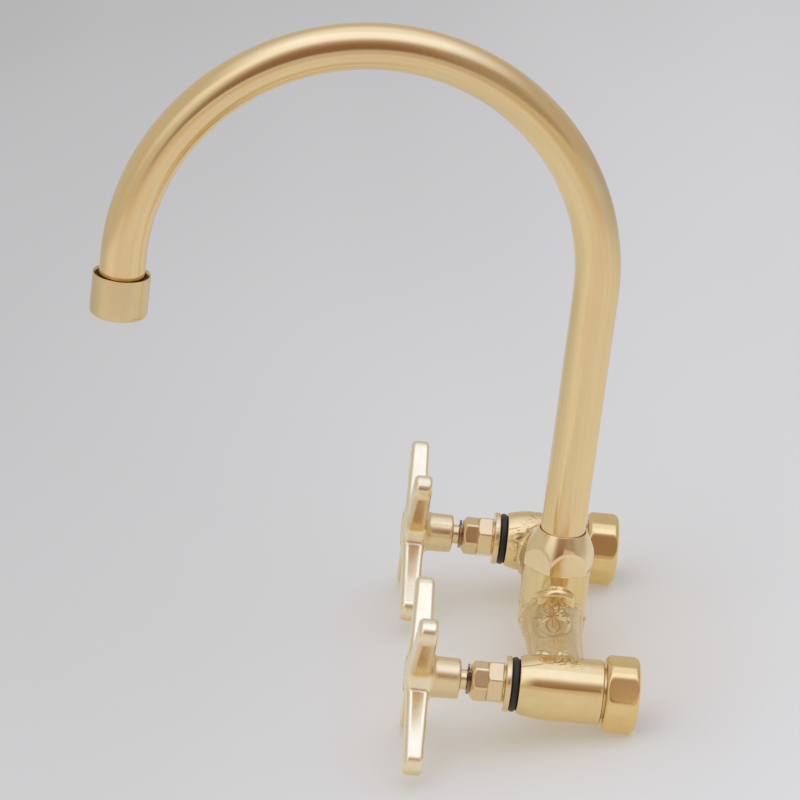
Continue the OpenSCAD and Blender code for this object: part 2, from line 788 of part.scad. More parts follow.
// Two rings in the spigot's grooves
module spout_o_rings() {
    color("black") at_spout() for (z = spigot_ring_zs())
        o_ring_z(spigot_groove_d() + 2 * spigot_ring_t, spigot_ring_t, z);
}

// White ring between the spigot's flange and the spout nut
module slip_ring() {
    color("white") at_spout()
        ring_z(spigot_flange_d, tube_d + 2 * run_fit, tube_foot_z, slip_top_z);
}

// Threaded sleeve round the tube's mouth
module outlet_adapter() {
    color("darkgoldenrod") at_outlet() difference() {
        translate([0, 0, tube_mouth_z]) cylinder(d = adapter_d, h = adapter_h);
        translate([0, 0, tube_mouth_z - cut])
            cylinder(d = tube_d + 2 * tight_fit, h = adapter_h + 2 * cut);
    }
}

// Turned shell that screws on the adapter and holds the insert
module aerator_shell() {
    foot_round = 1.8;
    steps = 4;
    lip_bore = adapter_d - 2.6;
    rim_wall = 0.35;
    rim_bevel = 0.8;
    color("gold") at_outlet() difference() {
        rotate_extrude() polygon(concat(
            [[0, shell_foot_z]],
            [for (i = [0 : steps]) let (a = -90 + 90 * i / steps)
                [shell_d / 2 - foot_round + foot_round * cos(a),
                 shell_foot_z + foot_round + foot_round * sin(a)]],
            [[shell_d / 2, shell_top_z], [0, shell_top_z]]
        ));
        translate([0, 0, insert_foot_z])
            cylinder(d = adapter_d + 2 * tight_fit, h = shell_h);
        translate([0, 0, shell_foot_z - cut]) cylinder(d = lip_bore, h = shell_h);
        rotate_extrude() polygon([[0, shell_top_z - rim_bevel], [adapter_d / 2, shell_top_z - rim_bevel],
            [shell_d / 2 - rim_wall, shell_top_z], [shell_d / 2 - rim_wall, shell_top_z + cut],
            [0, shell_top_z + cut]]);
    }
}

// Flat seal between the tube's mouth and the insert
module aerator_washer() {
    color("dimgray") at_outlet()
        ring_z(adapter_d - 0.4, tube_d - 2 * tube_wall - 1, insert_top_z, tube_mouth_z);
}

// Flow straightener: a cup with a plate of round holes
module aerator_insert() {
    hole_d = 2.2;
    pitch = 3;
    rings = 2;
    cup_d = adapter_d - 0.4;
    color("ivory") at_outlet() difference() {
        translate([0, 0, insert_foot_z]) cylinder(d = cup_d, h = insert_h);
        translate([0, 0, insert_foot_z + insert_plate_t]) cylinder(d = cup_d - 3, h = insert_h);
        for (q = [-rings : rings], r = [-rings : rings])
            if (abs(q + r) <= rings)
                translate([pitch * (q + r / 2), pitch * r * sin(60), insert_foot_z - cut])
                    cylinder(d = hole_d, h = insert_plate_t + 2 * cut, $fn = 24);
    }
}

// Two mesh discs above the straightener
module aerator_screens() {
    disc_d = adapter_d - 3.6;
    mesh_t = 0.4;
    rim = 1;
    wires = 4;
    wire_gap = (disc_d - 2 * rim) / (2 * wires + 1);
    first_z = insert_foot_z + insert_plate_t;
    color("silver") at_outlet() for (z = [first_z, first_z + mesh_t + 0.4])
        union() {
            ring_z(disc_d, disc_d - 2 * rim, z, z + mesh_t);
            intersection() {
                translate([0, 0, z]) cylinder(d = disc_d - rim, h = mesh_t);
                union() for (i = [-wires : wires]) {
                    translate([i * wire_gap - 0.2, -disc_d / 2, z]) cube([0.4, disc_d, mesh_t]);
                    translate([-disc_d / 2, i * wire_gap - 0.2, z]) cube([disc_d, 0.4, mesh_t]);
                }
            }
        }
}

on_left() valve_body();  // valve_body_left
on_right() valve_body();  // valve_body_right
mirror([1, 0, 0]) bridge_tube();  // bridge_tube_left
bridge_tube();  // bridge_tube_right
on_left() inlet_tail();  // inlet_tail_left
on_right() inlet_tail();  // inlet_tail_right
on_left() union_nut();  // union_nut_left
on_right() union_nut();  // union_nut_right
on_left() inlet_washer();  // inlet_washer_left
on_right() inlet_washer();  // inlet_washer_right
on_left() bonnet_o_ring();  // bonnet_o_ring_left
on_right() bonnet_o_ring();  // bonnet_o_ring_right
on_left() cartridge_body();  // cartridge_body_left
on_right() cartridge_body();  // cartridge_body_right
on_left() gland_nut();  // gland_nut_left
on_right() gland_nut();  // gland_nut_right
on_left() spindle();  // spindle_left
on_right() spindle();  // spindle_right
on_left() spindle_o_rings();  // spindle_o_rings_left
on_right() spindle_o_rings();  // spindle_o_rings_right
on_left() circlip();  // circlip_left
on_right() circlip();  // circlip_right
on_left() moving_disc();  // moving_disc_left
on_right() moving_disc();  // moving_disc_right
on_left() fixed_disc();  // fixed_disc_left
on_right() fixed_disc();  // fixed_disc_right
on_left() seat_seal();  // seat_seal_left
on_right() seat_seal();  // seat_seal_right
on_left_unturned() cross_handle();  // cross_handle_left
on_right() cross_handle();  // cross_handle_right
on_left() handle_screw();  // handle_screw_left
on_right() handle_screw();  // handle_screw_right
on_left() handle_button();  // handle_button_left
on_right() handle_button();  // handle_button_right
centre_boss();
spout_nut();
spout_tube();
spout_spigot();
spout_o_rings();
slip_ring();
outlet_adapter();
aerator_shell();
aerator_washer();
aerator_insert();
aerator_screens();
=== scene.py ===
"""Looks of the wall-mounted bridge faucet: camera, studio, finishes and detailed pieces."""

import json
import math

import bpy
import numpy as np
from mathutils import Matrix, Vector


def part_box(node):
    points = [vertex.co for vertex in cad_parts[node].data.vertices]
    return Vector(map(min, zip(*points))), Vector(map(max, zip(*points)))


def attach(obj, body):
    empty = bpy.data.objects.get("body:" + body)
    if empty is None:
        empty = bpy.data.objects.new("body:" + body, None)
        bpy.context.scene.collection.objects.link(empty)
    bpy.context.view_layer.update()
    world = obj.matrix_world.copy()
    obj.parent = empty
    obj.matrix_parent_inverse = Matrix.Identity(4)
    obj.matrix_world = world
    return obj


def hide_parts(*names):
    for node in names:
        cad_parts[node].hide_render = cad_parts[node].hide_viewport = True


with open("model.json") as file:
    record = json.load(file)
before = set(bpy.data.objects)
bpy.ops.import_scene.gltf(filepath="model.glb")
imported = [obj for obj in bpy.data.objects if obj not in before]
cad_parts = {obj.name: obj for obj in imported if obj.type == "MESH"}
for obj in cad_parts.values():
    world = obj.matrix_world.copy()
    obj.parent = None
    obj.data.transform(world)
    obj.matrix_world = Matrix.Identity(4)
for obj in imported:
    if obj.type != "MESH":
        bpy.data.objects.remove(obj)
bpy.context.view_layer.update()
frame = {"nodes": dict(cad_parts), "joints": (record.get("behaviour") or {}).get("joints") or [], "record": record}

MM = 0.001
TURN = 2 * math.pi


def span(node):
    """Lowest and highest corner of a CAD node, in millimetres, as the rows of an array."""
    return np.array([list(corner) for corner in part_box(node)]) / MM


# The photographed view, found by fitting the camera to the object's outlines
VIEW_AZIMUTH = 87.0
VIEW_ELEVATION = 21.2
VIEW_ROLL = 6.94
VIEW_DISTANCE = 1.6626
VIEW_TARGET = Vector((0.0, -0.1073, 0.0901))
FOCAL_PIXELS = 3973.7
IMAGE_PIXELS = 800
SENSOR_MM = 36.0

# Places that the frame gives, in millimetres
JOINT_AT = {joint["name"]: np.array(joint["pos_m"]) / MM for joint in frame["joints"]}
HALF_CENTRES = JOINT_AT["cold_valve_turn"][0]
BRIDGE_Y = JOINT_AT["spout_swivel"][1]
TUBE_FOOT = span("spout_tube")[0, 2]
TUBE_MOUTH = span("aerator_washer")[1, 2]

# Spout in millimetres: a tube bent round half a circle, turned a little to the cold side
SPOUT_REACH = 196.0
BEND_HEIGHT = 146.0
SPOUT_TURN = math.radians(4.2)
TUBE_R = 9.525
TUBE_WALL = 1.2

# Hexagon nuts: width across flats, and the turn of one corner in space
NUT_FLATS = 30.0
NUT_TURN = math.radians(2.5)
COLLAR_FLATS = 27.0
COLLAR_TURN = math.radians(-16)
GLAND_FLATS = 14.6
GLAND_TURN = math.radians(3)

# Pipe thread of the union nuts, with the hole in front of it for the inlet tail
NUT_R = 16.0
NUT_THREAD_R = 12.06
NUT_THREAD_PITCH = 1.814
NUT_THREAD_DEPTH = 1.16
NUT_THREAD_LENGTH = 8.2
TAIL_HOLE_R = 10.3

# Valve bodies, which narrow towards the handle
BODY_R = 13.5
BODY_RIM_R = 11.7
BODY_TAPER = 10.0
BODY_TAPER_CURVE = 1.8

# Bridge and boss, with a raised shoulder on the boss over each arm of the bridge
BRIDGE_R = 11.5
BRIDGE_ROOT_R = 13.0
BRIDGE_FLARE = 34.0
BRIDGE_BORE_R = 9.0
BOSS_R = 14.0
BOSS_BALL_R = 12.0
SHOULDER_TOP = 18.6
SHOULDER_ROUND = 3.8
SHOULDER_DROOP = 0.07

# Handles: four arms, wider and thinner towards their tips
ARM_REACH = 44.5
ARM_TIP_W = 12.0
ARM_ROOT_W = 9.0
ARM_T = 9.6
ARM_TIP_T = 7.8
ARM_ANGLE = math.radians(51)
HUB_R = 8.6

# Engraving: degrees between its mesh's points, and faint stains on the arms of the bridge,
# each with its place along and around the arm, half length, half width and share of patina
ENGRAVED_STEP = 0.9
STAINS = ((21, 2, 8, 5.5, 0.1), (43, -3.5, 9, 3.5, 0.07))

# Tones of the engraving's bottom, which is patina, and of the painted shade on the handle's hub and undersides
PATINA = (0.62, 0.44, 0.18)
HANDLE_SHADE = (0.87, 0.69, 0.40)

# Slot of each finish that has another name, and a node whose finish isn't its slot's
BODY_FINISHES = ("brass_engraved", "brass_boss", "brass_braze")
SLOT_OF = {"brass_dome": "brass_polished", **dict.fromkeys(BODY_FINISHES, "brass_body")}
NODE_FINISH = {"outlet_adapter": "brass_near_black"}

# Radiance of the room that the brass reflects, on its left and right, and how it dims behind
ROOM_LEFT = (0.58, 0.55, 0.52)
ROOM_RIGHT = (0.51, 0.46, 0.43)
BACK_DIMMING = -0.3

# Lamps overhead: their radiance and the elevations between which they set in
SOFTBOX = (1.08, 1.19, 1.6)
SOFTBOX_FROM = 38.0
SOFTBOX_FULL = 60.0
SOFTBOX_FULL_ASIDE = 68.0

# White card at the left, between two azimuths
CARD = (0.98, 1.0, 1.08)
CARD_SPAN = (-62, -29)

# Dark middle of the room between two azimuths, each tone with the elevations where it fades
# out, and its paler side at the right
MIDDLE_SPAN = (-17, 24)
BROWN = (0.55, 0.37, 0.32)
BROWN_FADE = (33, 61)
DARK = (0.24, 0.14, 0.09)
DARK_FADE = (22, 53)
SIDE_SPAN = (15, 58)
SIDE_RISE = (-12, 44)
SIDE_SHARE = 0.5

# Panels that only reflections see: the sheet's front lip and its raised corner at the right.
# Each has its left, right, foot and top in metres as seen from the camera, and two colours.
PANEL_DISTANCE = 0.403
PANEL_FADE_FROM = 0.04
PANELS = {
    "sheet_lip": (-0.6, 0.6, -0.06, 0.15, (0.74, 0.70, 0.70), (0.56, 0.47, 0.36)),
    "sheet_corner": (0.055, 0.5, 0.15, 0.27, (0.62, 0.54, 0.44), (0.62, 0.54, 0.44)),
}

# Colours of the sheet far and near, whose blend paints light falling off across it; the painted
# golden bounce light and shade round the faucet, and its share; the sheet's share of light from
# below, its glow for the camera, its half width in metres and its gap in millimetres under the faucet
SHEET_FAR = (0.52, 0.512, 0.475)
SHEET_NEAR = (0.96, 0.943, 0.88)
SHEET_PAINTED_BOUNCE = (0.80, 0.69, 0.50)
SHEET_PAINTED_BOUNCE_SHARE = 0.35
SHEET_FILL = 0.31
SHEET_GLOW = 0.33
SHEET_HALF = 6.0
SHEET_GAP = 0.6

# Glow of the sheet in reflections: next to the faucet, from REACH outwards and at the left
MIRROR_GLOW = 0.42
MIRROR_FAR_GLOW = 0.08
MIRROR_LEFT_GLOW = 0.46
MIRROR_REACH = 0.75


# Points and faces of meshes

def soft_min(a, b, width):
    """The smaller of a and b, with a rounded change from one to the other."""
    near = np.maximum(width - np.abs(a - b), 0) / width
    return np.minimum(a, b) - near * near * width / 4


def smooth_step(low, high, value):
    """0 before low, 1 past high and a smooth change between them; low may be the larger."""
    t = np.clip((value - low) / (high - low), 0, 1)
    return t * t * (3 - 2 * t)


def ripple(points, wavelength, seed, waves=6):
    """Smooth, repeatable unevenness from about -1 to 1, less regular the more waves it adds up."""
    random = np.random.default_rng(seed)
    total = np.zeros(points.shape[:-1])
    for _ in range(waves):
        direction = random.normal(size=points.shape[-1])
        direction *= TURN / wavelength / np.linalg.norm(direction) * random.uniform(0.6, 1.6)
        total += np.sin(points @ direction + random.uniform(0, TURN))
    return total / math.sqrt(waves)


def arc_at(corner, before, after, rounding):
    """Points of the arc that rounds a corner between two directions."""
    arc_step = 12
    before = before / np.linalg.norm(before)
    after = after / np.linalg.norm(after)
    half = math.acos(np.clip(before @ after, -1, 1)) / 2
    nearly_straight = half > 1.55
    if rounding <= 0 or nearly_straight:
        return corner[None]
    centre = corner + (before + after) / np.linalg.norm(before + after) * rounding / math.sin(half)
    start = corner + before * rounding / math.tan(half) - centre
    end = corner + after * rounding / math.tan(half) - centre
    sweep = math.copysign(math.pi - 2 * half, start[0] * end[1] - start[1] * end[0])
    angles = np.linspace(0, sweep, max(3, math.ceil(abs(math.degrees(sweep)) / arc_step) + 1))
    turned_x = start[0] * np.cos(angles) - start[1] * np.sin(angles)
    turned_y = start[0] * np.sin(angles) + start[1] * np.cos(angles)
    return centre + np.stack([turned_x, turned_y], -1)


def outline(corners, spacing):
    """Closed outline through corners (radius, station, rounding), long edges divided to a spacing."""
    places = np.array([corner[:2] for corner in corners], float)
    points = []
    for i, corner in enumerate(corners):
        before = places[i - 1] - places[i]
        after = places[(i + 1) % len(corners)] - places[i]
        points.extend(arc_at(places[i], before, after, corner[2] if len(corner) > 2 else 0))
    divided = []
    for here, there in zip(points, points[1:] + points[:1]):
        steps = max(1, math.ceil(np.linalg.norm(there - here) / spacing))
        divided.extend(here + (there - here) * k / steps for k in range(steps))
    return np.array(divided)


def grid_faces(rows, columns):
    """Faces between the rows and columns of a grid that closes both ways."""
    r, c = np.meshgrid(np.arange(rows), np.arange(columns), indexing="ij")
    r2 = (r + 1) % rows
    c2 = (c + 1) % columns
    quads = np.stack([r * columns + c, r * columns + c2, r2 * columns + c2, r2 * columns + c], -1)
    return quads.reshape(-1, 4)


def facing_out(points, faces):
    """The faces, turned where they face into the solid that they close."""
    a, b, c, d = (points[faces[:, k]] for k in range(4))
    volume = np.einsum("ij,ij->", a, np.cross(b, c)) + np.einsum("ij,ij->", a, np.cross(c, d))
    return faces if volume > 0 else faces[:, ::-1]


def add_piece(name, points, finish, body, stands_for=(), faces=None, uv=None, cut=None):
    """Mesh object that rides on a body and may stand for CAD nodes.

    Its points, in millimetres, form a grid that closes both ways unless faces are given.
    """
    if faces is None:
        faces = grid_faces(*points.shape[:2])
    points = points.reshape(-1, 3)
    faces = facing_out(points, faces)
    mesh = bpy.data.meshes.new(name)
    mesh.from_pydata((points * MM).tolist(), [], faces.tolist())
    mesh.polygons.foreach_set("use_smooth", np.ones(len(mesh.polygons), bool))
    if uv is not None:
        corners = np.empty(len(mesh.loops), np.int32)
        mesh.loops.foreach_get("vertex_index", corners)
        layer = mesh.uv_layers.new(name="UVMap")
        layer.data.foreach_set("uv", uv.reshape(-1, 2)[corners].ravel())
    # The cut attribute carries patina where a piece is engraved or stained, and painted shade on the handles.
    if cut is not None:
        depth = mesh.attributes.new("cut", "FLOAT", "POINT")
        depth.data.foreach_set("value", np.ascontiguousarray(cut, np.float32).ravel())
    mesh.materials.append(finishes[finish])
    piece = bpy.data.objects.new(name, mesh)
    bpy.context.scene.collection.objects.link(piece)
    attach(piece, body)
    if stands_for:
        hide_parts(*stands_for)


def turned(profile, segments, place, reshape=None):
    """Grid of points of a profile (radius, station) turned round an axis that place puts in space."""
    angles = np.linspace(0, TURN, segments, endpoint=False)
    angle = angles[:, None] * np.ones(len(profile))
    radius = np.ones((segments, 1)) * profile[:, 0]
    station = np.ones((segments, 1)) * profile[:, 1]
    if reshape:
        radius = reshape(radius, station, angle)
    return place(radius * np.cos(angle), radius * np.sin(angle), station)


def add_turned(name, profile, segments, place, finish, body, stands_for, reshape=None):
    """Piece turned from a profile."""
    add_piece(name, turned(profile, segments, place, reshape), finish, body, stands_for)


def hexagon(flats, corner, softness):
    """Reshaper that cuts a turned piece to a hexagon with one corner at an angle."""
    def reshape(radius, station, angle):
        sector = (angle - corner) % (TURN / 6) - TURN / 12
        return soft_min(radius, flats / 2 / np.cos(sector), softness)
    return reshape


def engraved_turn(first, last, plain_step):
    """Angles of a full turn, fine from first to last degrees, where the engraving is."""
    fine = np.arange(first, last, ENGRAVED_STEP)
    coarse = np.arange(last, first + 360, plain_step)
    return np.radians(np.concatenate([fine, coarse]))


def on_barrel(side):
    """Places a turned piece on the axis of a valve body; side is 1 for cold and -1 for hot."""
    return lambda u, v, s: np.stack([side * (HALF_CENTRES + u), s, v], -1)


def on_upright(u, v, s):
    """Places a turned piece on the spout's upright axis."""
    return np.stack([u, BRIDGE_Y + v, s], -1)


def turned_out(across, forward, height):
    """Places points given across and along the spout's plane, at its rest angle."""
    x = across * math.cos(SPOUT_TURN) + forward * math.sin(SPOUT_TURN)
    y = BRIDGE_Y + across * math.sin(SPOUT_TURN) - forward * math.cos(SPOUT_TURN)
    return np.stack([x, y, height], -1)


def on_outlet(u, v, s):
    """Places a turned piece on the outlet's axis."""
    return turned_out(u, v + SPOUT_REACH, s)


# Pieces of the spout

def spout_path(length):
    """Forward distance, height and outward direction at a length along the spout's centreline."""
    bend_r = SPOUT_REACH / 2
    rise = BEND_HEIGHT - TUBE_FOOT
    angle = np.clip((length - rise) / bend_r, 0, math.pi)
    over = length - rise - angle * bend_r
    forward = bend_r * (1 - np.cos(angle))
    height = BEND_HEIGHT + bend_r * np.sin(angle) + over * np.cos(angle)
    return forward, height, angle


def add_spout():
    """Bent tube with its bore, slightly uneven as a hand-bent tube is."""
    length = (BEND_HEIGHT - TUBE_FOOT) + math.pi * SPOUT_REACH / 2 + (BEND_HEIGHT - TUBE_MOUTH)
    bore_r = TUBE_R - TUBE_WALL
    segments = 112
    flattening = 0.006
    unevenness = 0.02
    corners = ((TUBE_R, 0), (TUBE_R, length), (bore_r, length), (bore_r, 0))
    profile = outline([(*corner, 0.3) for corner in corners], 1.5)

    def place(u, v, s):
        forward, height, angle = spout_path(s)
        return turned_out(v, forward - u * np.cos(angle), height + u * np.sin(angle))

    def reshape(radius, station, angle):
        _, _, bend = spout_path(station)
        oval = flattening * np.sin(bend) * np.cos(2 * angle)
        wave = ripple(np.stack([station, 9 * np.cos(angle), 9 * np.sin(angle)], -1), 70, 3)
        return radius * (1 - oval) + unevenness * wave - unevenness

    points = turned(profile, segments, place, reshape)
    around = np.arange(segments) / segments
    uv = np.stack(np.broadcast_arrays(profile[None, :, 1] * MM, around[:, None]), -1)
    add_piece("spout", points, "brass_spout", "spout", ("spout_tube",), uv=uv)


def add_spout_nut():
    """Domed hexagon nut that holds the spout on the boss."""
    foot, top = span("spout_nut")[:, 2]
    edge_top = foot + 4.4
    outer = 15.6
    rim = 10.3
    bore = TUBE_R + 0.2
    thread = 11.05
    lip = foot + 11.45
    dome_curve = 1.3
    dome = [(outer - (outer - rim) * t ** dome_curve, edge_top + (top - edge_top) * t)
            for t in np.linspace(0, 1, 28)[:-1]]
    corners = [(outer, foot, 1.1), *dome, (rim, top, 0.25), (bore, top, 0.3), (bore, lip, 0.1),
               (thread, lip, 0.1), (thread, foot, 0.4)]
    add_turned("spout_nut_shell", outline(corners, 0.7), 288, on_upright, "brass_dome",
               "root", ("spout_nut",), hexagon(COLLAR_FLATS, COLLAR_TURN, 0.6))


def add_aerator_shell():
    """Screwed cap of the outlet, thin at its upper rim and round at its foot."""
    low, high = span("aerator_shell")
    foot, top = low[2], high[2]
    outer = (high[1] - low[1]) / 2
    inner = 11.03
    lip = 9.7
    lip_top = foot + 0.8
    rim_slope = top - 0.9
    corners = [(outer, foot, 2.2), (outer, top, 0.12), (outer - 0.35, top, 0.1),
               (inner, rim_slope, 0.1), (inner, lip_top, 0.1), (lip, lip_top, 0.1), (lip, foot, 0.3)]
    add_turned("aerator_cap", outline(corners, 1.2), 160, on_outlet, "brass_outlet",
               "spout", ("aerator_shell",))


# Pieces of the body

def body_radius(station, rim):
    """Radius of a valve body at a station behind its rim."""
    t = np.clip((rim + BODY_TAPER - station) / BODY_TAPER, 0, 1)
    return BODY_R - (BODY_R - BODY_RIM_R) * t ** BODY_TAPER_CURVE


def joint_roughness(points, station, angle):
    """Hammered strip on a valve body, next to its seam with the bridge."""
    to_joint = np.hypot(station - BRIDGE_Y, BODY_R * np.sin(angle)) - BRIDGE_R
    strip = smooth_step(0.45, 0.1, np.cos(angle)) * smooth_step(7, 1, to_joint)
    return strip * (0.1 * ripple(points, 3.0, 12, 40) - 0.06)


def add_valve_body(side, name):
    """Valve body with the bore for the headwork and the socket for the inlet tail."""
    rim, back = span("valve_body_" + name)[:, 1]
    thread_r = 9.3
    chamber_r = 9.6
    chamber_front = BRIDGE_Y - 8
    seat_r = 5.5
    seat_front = BRIDGE_Y + 8
    seat_back = BRIDGE_Y + 10
    water_r = 7.5
    socket_front = back - 6
    taper = [(body_radius(s, rim), s) for s in np.linspace(rim + 0.4, rim + BODY_TAPER, 16)]
    corners = [(thread_r, rim, 0.3), (BODY_RIM_R, rim, 0.5), *taper, (BODY_R, back, 0.9),
               (TAIL_HOLE_R, back, 0.3), (TAIL_HOLE_R, socket_front, 0.2), (water_r, socket_front, 0.2),
               (water_r, seat_back, 0.2), (seat_r, seat_back, 0.1), (seat_r, seat_front, 0.1),
               (chamber_r, seat_front, 0.2), (chamber_r, chamber_front, 0.1),
               (thread_r, chamber_front, 0.1)]
    profile = outline(corners, 0.5)
    angle = engraved_turn(50, 190, 2.0)[:, None] * np.ones(len(profile))
    radius = np.ones(angle.shape) * profile[:, 0]
    station = np.ones(angle.shape) * profile[:, 1]
    outside = radius > BODY_RIM_R - 0.6

    points = np.stack([station, 13 * np.cos(angle), 13 * np.sin(angle)], -1)
    marks = barrel_ornament if side > 0 else []
    cut = engraving(station - rim, (angle % TURN) * BODY_R, marks) * outside
    rough = joint_roughness(points, station, angle)
    dents = 0.03 * ripple(points, 16, 11) - 0.03
    radius = radius + np.where(outside, dents + rough, 0) - cut
    tone = np.clip(cut / 0.4 - 2 * np.minimum(rough, 0), 0, 1)
    points = on_barrel(side)(radius * np.cos(angle), radius * np.sin(angle), station)
    add_piece("barrel_" + name, points, "brass_body", "root", ("valve_body_" + name,), cut=tone)


def add_union_nut(side, name, body):
    """Hexagon union nut with its parallel pipe thread."""
    front, back = span("union_nut_" + name)[:, 1]
    rounding = 2.8
    chamfer = 1.1
    lip_back = front + 2
    relief = back - NUT_THREAD_LENGTH
    relief_r = NUT_THREAD_R + 0.3
    corners = [(NUT_R, front, rounding), (NUT_R, back, rounding), (NUT_THREAD_R + chamfer, back, 0.2),
               (NUT_THREAD_R, back - chamfer, 0.2), (NUT_THREAD_R, relief, 0.1), (relief_r, relief, 0.1),
               (relief_r, lip_back, 0.1), (TAIL_HOLE_R, lip_back, 0.1), (TAIL_HOLE_R, front, 0.3)]
    cut = hexagon(NUT_FLATS, NUT_TURN, 0.5)

    def reshape(radius, station, angle):
        phase = (station / NUT_THREAD_PITCH - angle / TURN) % 1
        groove = NUT_THREAD_DEPTH * (1 - np.abs(2 * phase - 1))
        length = smooth_step(relief, relief + 1, station) * smooth_step(back - 0.4, back - 1.4, station)
        threaded = (radius < NUT_THREAD_R + 0.9) & (station > relief + 0.05)
        return np.where(threaded, radius + groove * length, cut(radius, station, angle))

    add_turned("union_nut_hex_" + name, outline(corners, 0.22), 240, on_barrel(side),
               "brass_polished", body, ("union_nut_" + name,), reshape)


def bridge_radius(x):
    """Radius of the bridge tube, widest at the boss."""
    t = np.clip((x - BOSS_R) / BRIDGE_FLARE, 0, 1)
    return BRIDGE_R + (BRIDGE_ROOT_R - BRIDGE_R) * (1 - t) ** 2


def add_bridge_arm(side, name):
    """Half of the bridge, saddle-cut at both ends, with its ornament engraved on top."""
    wall_steps = 200
    bore_steps = 8
    sunk = 0.4
    outside = np.repeat([True, False], [wall_steps, bore_steps])
    way = np.concatenate([np.linspace(0, 1, wall_steps), np.linspace(1, 0, bore_steps)])
    angle = engraved_turn(-62, 78, 3.0)[:, None] * np.ones(len(way))
    root_r = np.where(outside, BRIDGE_ROOT_R, BRIDGE_BORE_R)
    end_r = np.where(outside, BRIDGE_R, BRIDGE_BORE_R)
    start = np.sqrt(BOSS_R ** 2 - (root_r * np.sin(angle)) ** 2) - sunk
    end = HALF_CENTRES - np.sqrt(BODY_R ** 2 - (end_r * np.cos(angle)) ** 2) + sunk
    x = start + (end - start) * way
    around = angle * BRIDGE_R

    surface = np.stack([x, around], -1)
    cut = engraving(x, around, ornament)
    dents = (0.04 + 0.06 * smooth_step(48, 60, x)) * ripple(surface, 7, 5)
    dents += (0.02 + 0.05 * smooth_step(50, 60, x)) * ripple(surface, 2.6, 6, 30)
    radius = np.where(outside, bridge_radius(x) - (cut + dents + 0.05), BRIDGE_BORE_R)
    stain = sum(share * np.exp(-((x - along) / half_length) ** 2 - ((around - about) / half_width) ** 2)
                for along, about, half_length, half_width, share in STAINS)
    points = np.stack([side * x, BRIDGE_Y - radius * np.sin(angle), radius * np.cos(angle)], -1)
    tone = np.clip(cut / 0.5 + stain, 0, 1) * outside
    add_piece("bridge_arm_" + name, points, "brass_engraved", "root", ("bridge_tube_" + name,), cut=tone)


def add_boss():
    """Upright boss with its round foot and a raised shoulder over each arm of the bridge."""
    foot, top = span("centre_boss")[:, 2]
    neck_foot = span("spout_nut")[0, 2]
    neck_r = 11
    bore_r = 8.45
    bore_foot = foot + 5.2
    axis_r = 2.0
    ball = [(BOSS_R - BOSS_BALL_R * (1 - math.cos(a)), foot + BOSS_BALL_R * (1 + math.sin(a)))
            for a in np.linspace(-math.pi / 2, 0, 24)[1:]]
    corners = [(axis_r, foot, 0), *ball, (BOSS_R, neck_foot, 0.4), (neck_r, neck_foot, 0.2),
               (neck_r, top, 0.5), (bore_r, top, 0.3), (bore_r, bore_foot, 0.3), (axis_r, bore_foot, 0)]
    profile = outline(corners, 0.35)
    profile[profile[:, 0] < axis_r + 0.001, 0] = 0.001

    def reshape(radius, station, angle):
        across = BOSS_R * np.sin(angle)
        outside = radius > BOSS_R - 0.5
        below = SHOULDER_TOP - SHOULDER_DROOP * across ** 2 - station
        t = np.clip(1 - below / SHOULDER_ROUND, 0, 1)
        lobe = SHOULDER_ROUND * np.sqrt(np.maximum(1 - t ** 2.6, 0))
        lobe = lobe * smooth_step(9.5, 5.0, np.abs(across)) * smooth_step(4, 8, station)
        lobe = lobe * smooth_step(-0.01, 0.4, below)
        dents = 0.05 * ripple(np.stack([station, across, radius], -1), 5, 7)
        return radius + np.where(outside, lobe + dents - 0.06, 0)

    add_turned("boss", profile, 256, on_upright, "brass_boss", "root", ("centre_boss",), reshape)


# Engraved ornament in unrolled millimetres, along a piece and around it

def placed(shape, centre, heading):
    """Points turned by an angle and moved to a centre."""
    cos, sin = math.cos(heading), math.sin(heading)
    return shape @ np.array([[cos, sin], [-sin, cos]]) + centre


def leaf(centre, length, width, heading):
    """Closed outline of a pointed leaf from its root at centre."""
    t = np.linspace(0, 1, 24)
    half = width / 2 * np.sin(math.pi * t) ** 0.8
    upper = np.stack([t * length, half], -1)
    lower = np.stack([t * length, -half], -1)[::-1]
    return placed(np.concatenate([upper, lower]), centre, heading)


def oval(centre, length, width):
    """Closed almond-shaped oval."""
    t = np.linspace(0, TURN, 80)
    across = width / 2 * np.sin(t) * (1 - 0.12 * np.cos(t) ** 4)
    return np.stack([length / 2 * np.cos(t), across], -1) + centre


def ring(centre, radius):
    """Closed circle."""
    t = np.linspace(0, TURN, 24)
    return np.stack([centre[0] + radius * np.cos(t), centre[1] + radius * np.sin(t)], -1)


def flower(middle):
    """Strokes of a fan of narrow petals towards the boss and five veined leaves away from it."""
    strokes = []
    for heading in (-58, -36, -12, 12, 36, 58):
        length = 12.5 - 0.09 * abs(heading)
        strokes.append((leaf(middle, length, 3.6, math.radians(180 + heading)), 0.34, 0.42))
    for heading in (0, -62, 62, -118, 118):
        length, width = (17, 5.6) if heading == 0 else (8.5, 3.8)
        strokes.append((leaf(middle, length, width, math.radians(heading)), 0.36, 0.5))
        vein = placed([[1.5, 0], [0.7 * length, 0]], middle, math.radians(heading))
        strokes.append((vein, 0.26, 0.35))
    return strokes


def oval_frame(centre):
    """Strokes of two ovals with a row of short slanting ticks between them."""
    strokes = [(oval(centre, 31, 13), 0.3, 0.2), (oval(centre, 36.5, 17.5), 0.3, 0.2)]
    ticks = 58
    for k in range(ticks):
        t = TURN * k / ticks
        spot = centre + np.array([15.6 * math.cos(t), 6.7 * math.sin(t)])
        strokes.append((placed([[0, 0], [2.2, 0.8]], spot, t), 0.3, 0.42))
    return strokes


def edge_band(middle):
    """Strokes of a row of small rings between two lines along the arm."""
    half_band = 2.6
    strokes = [(ring((17.0 + 4.1 * k, middle), 1.3), 0.3, 0.3) for k in range(10)]
    for line in (middle - half_band, middle + half_band):
        strokes.append(([[14, line], [58, line]], 0.26, 0.3))
    return strokes


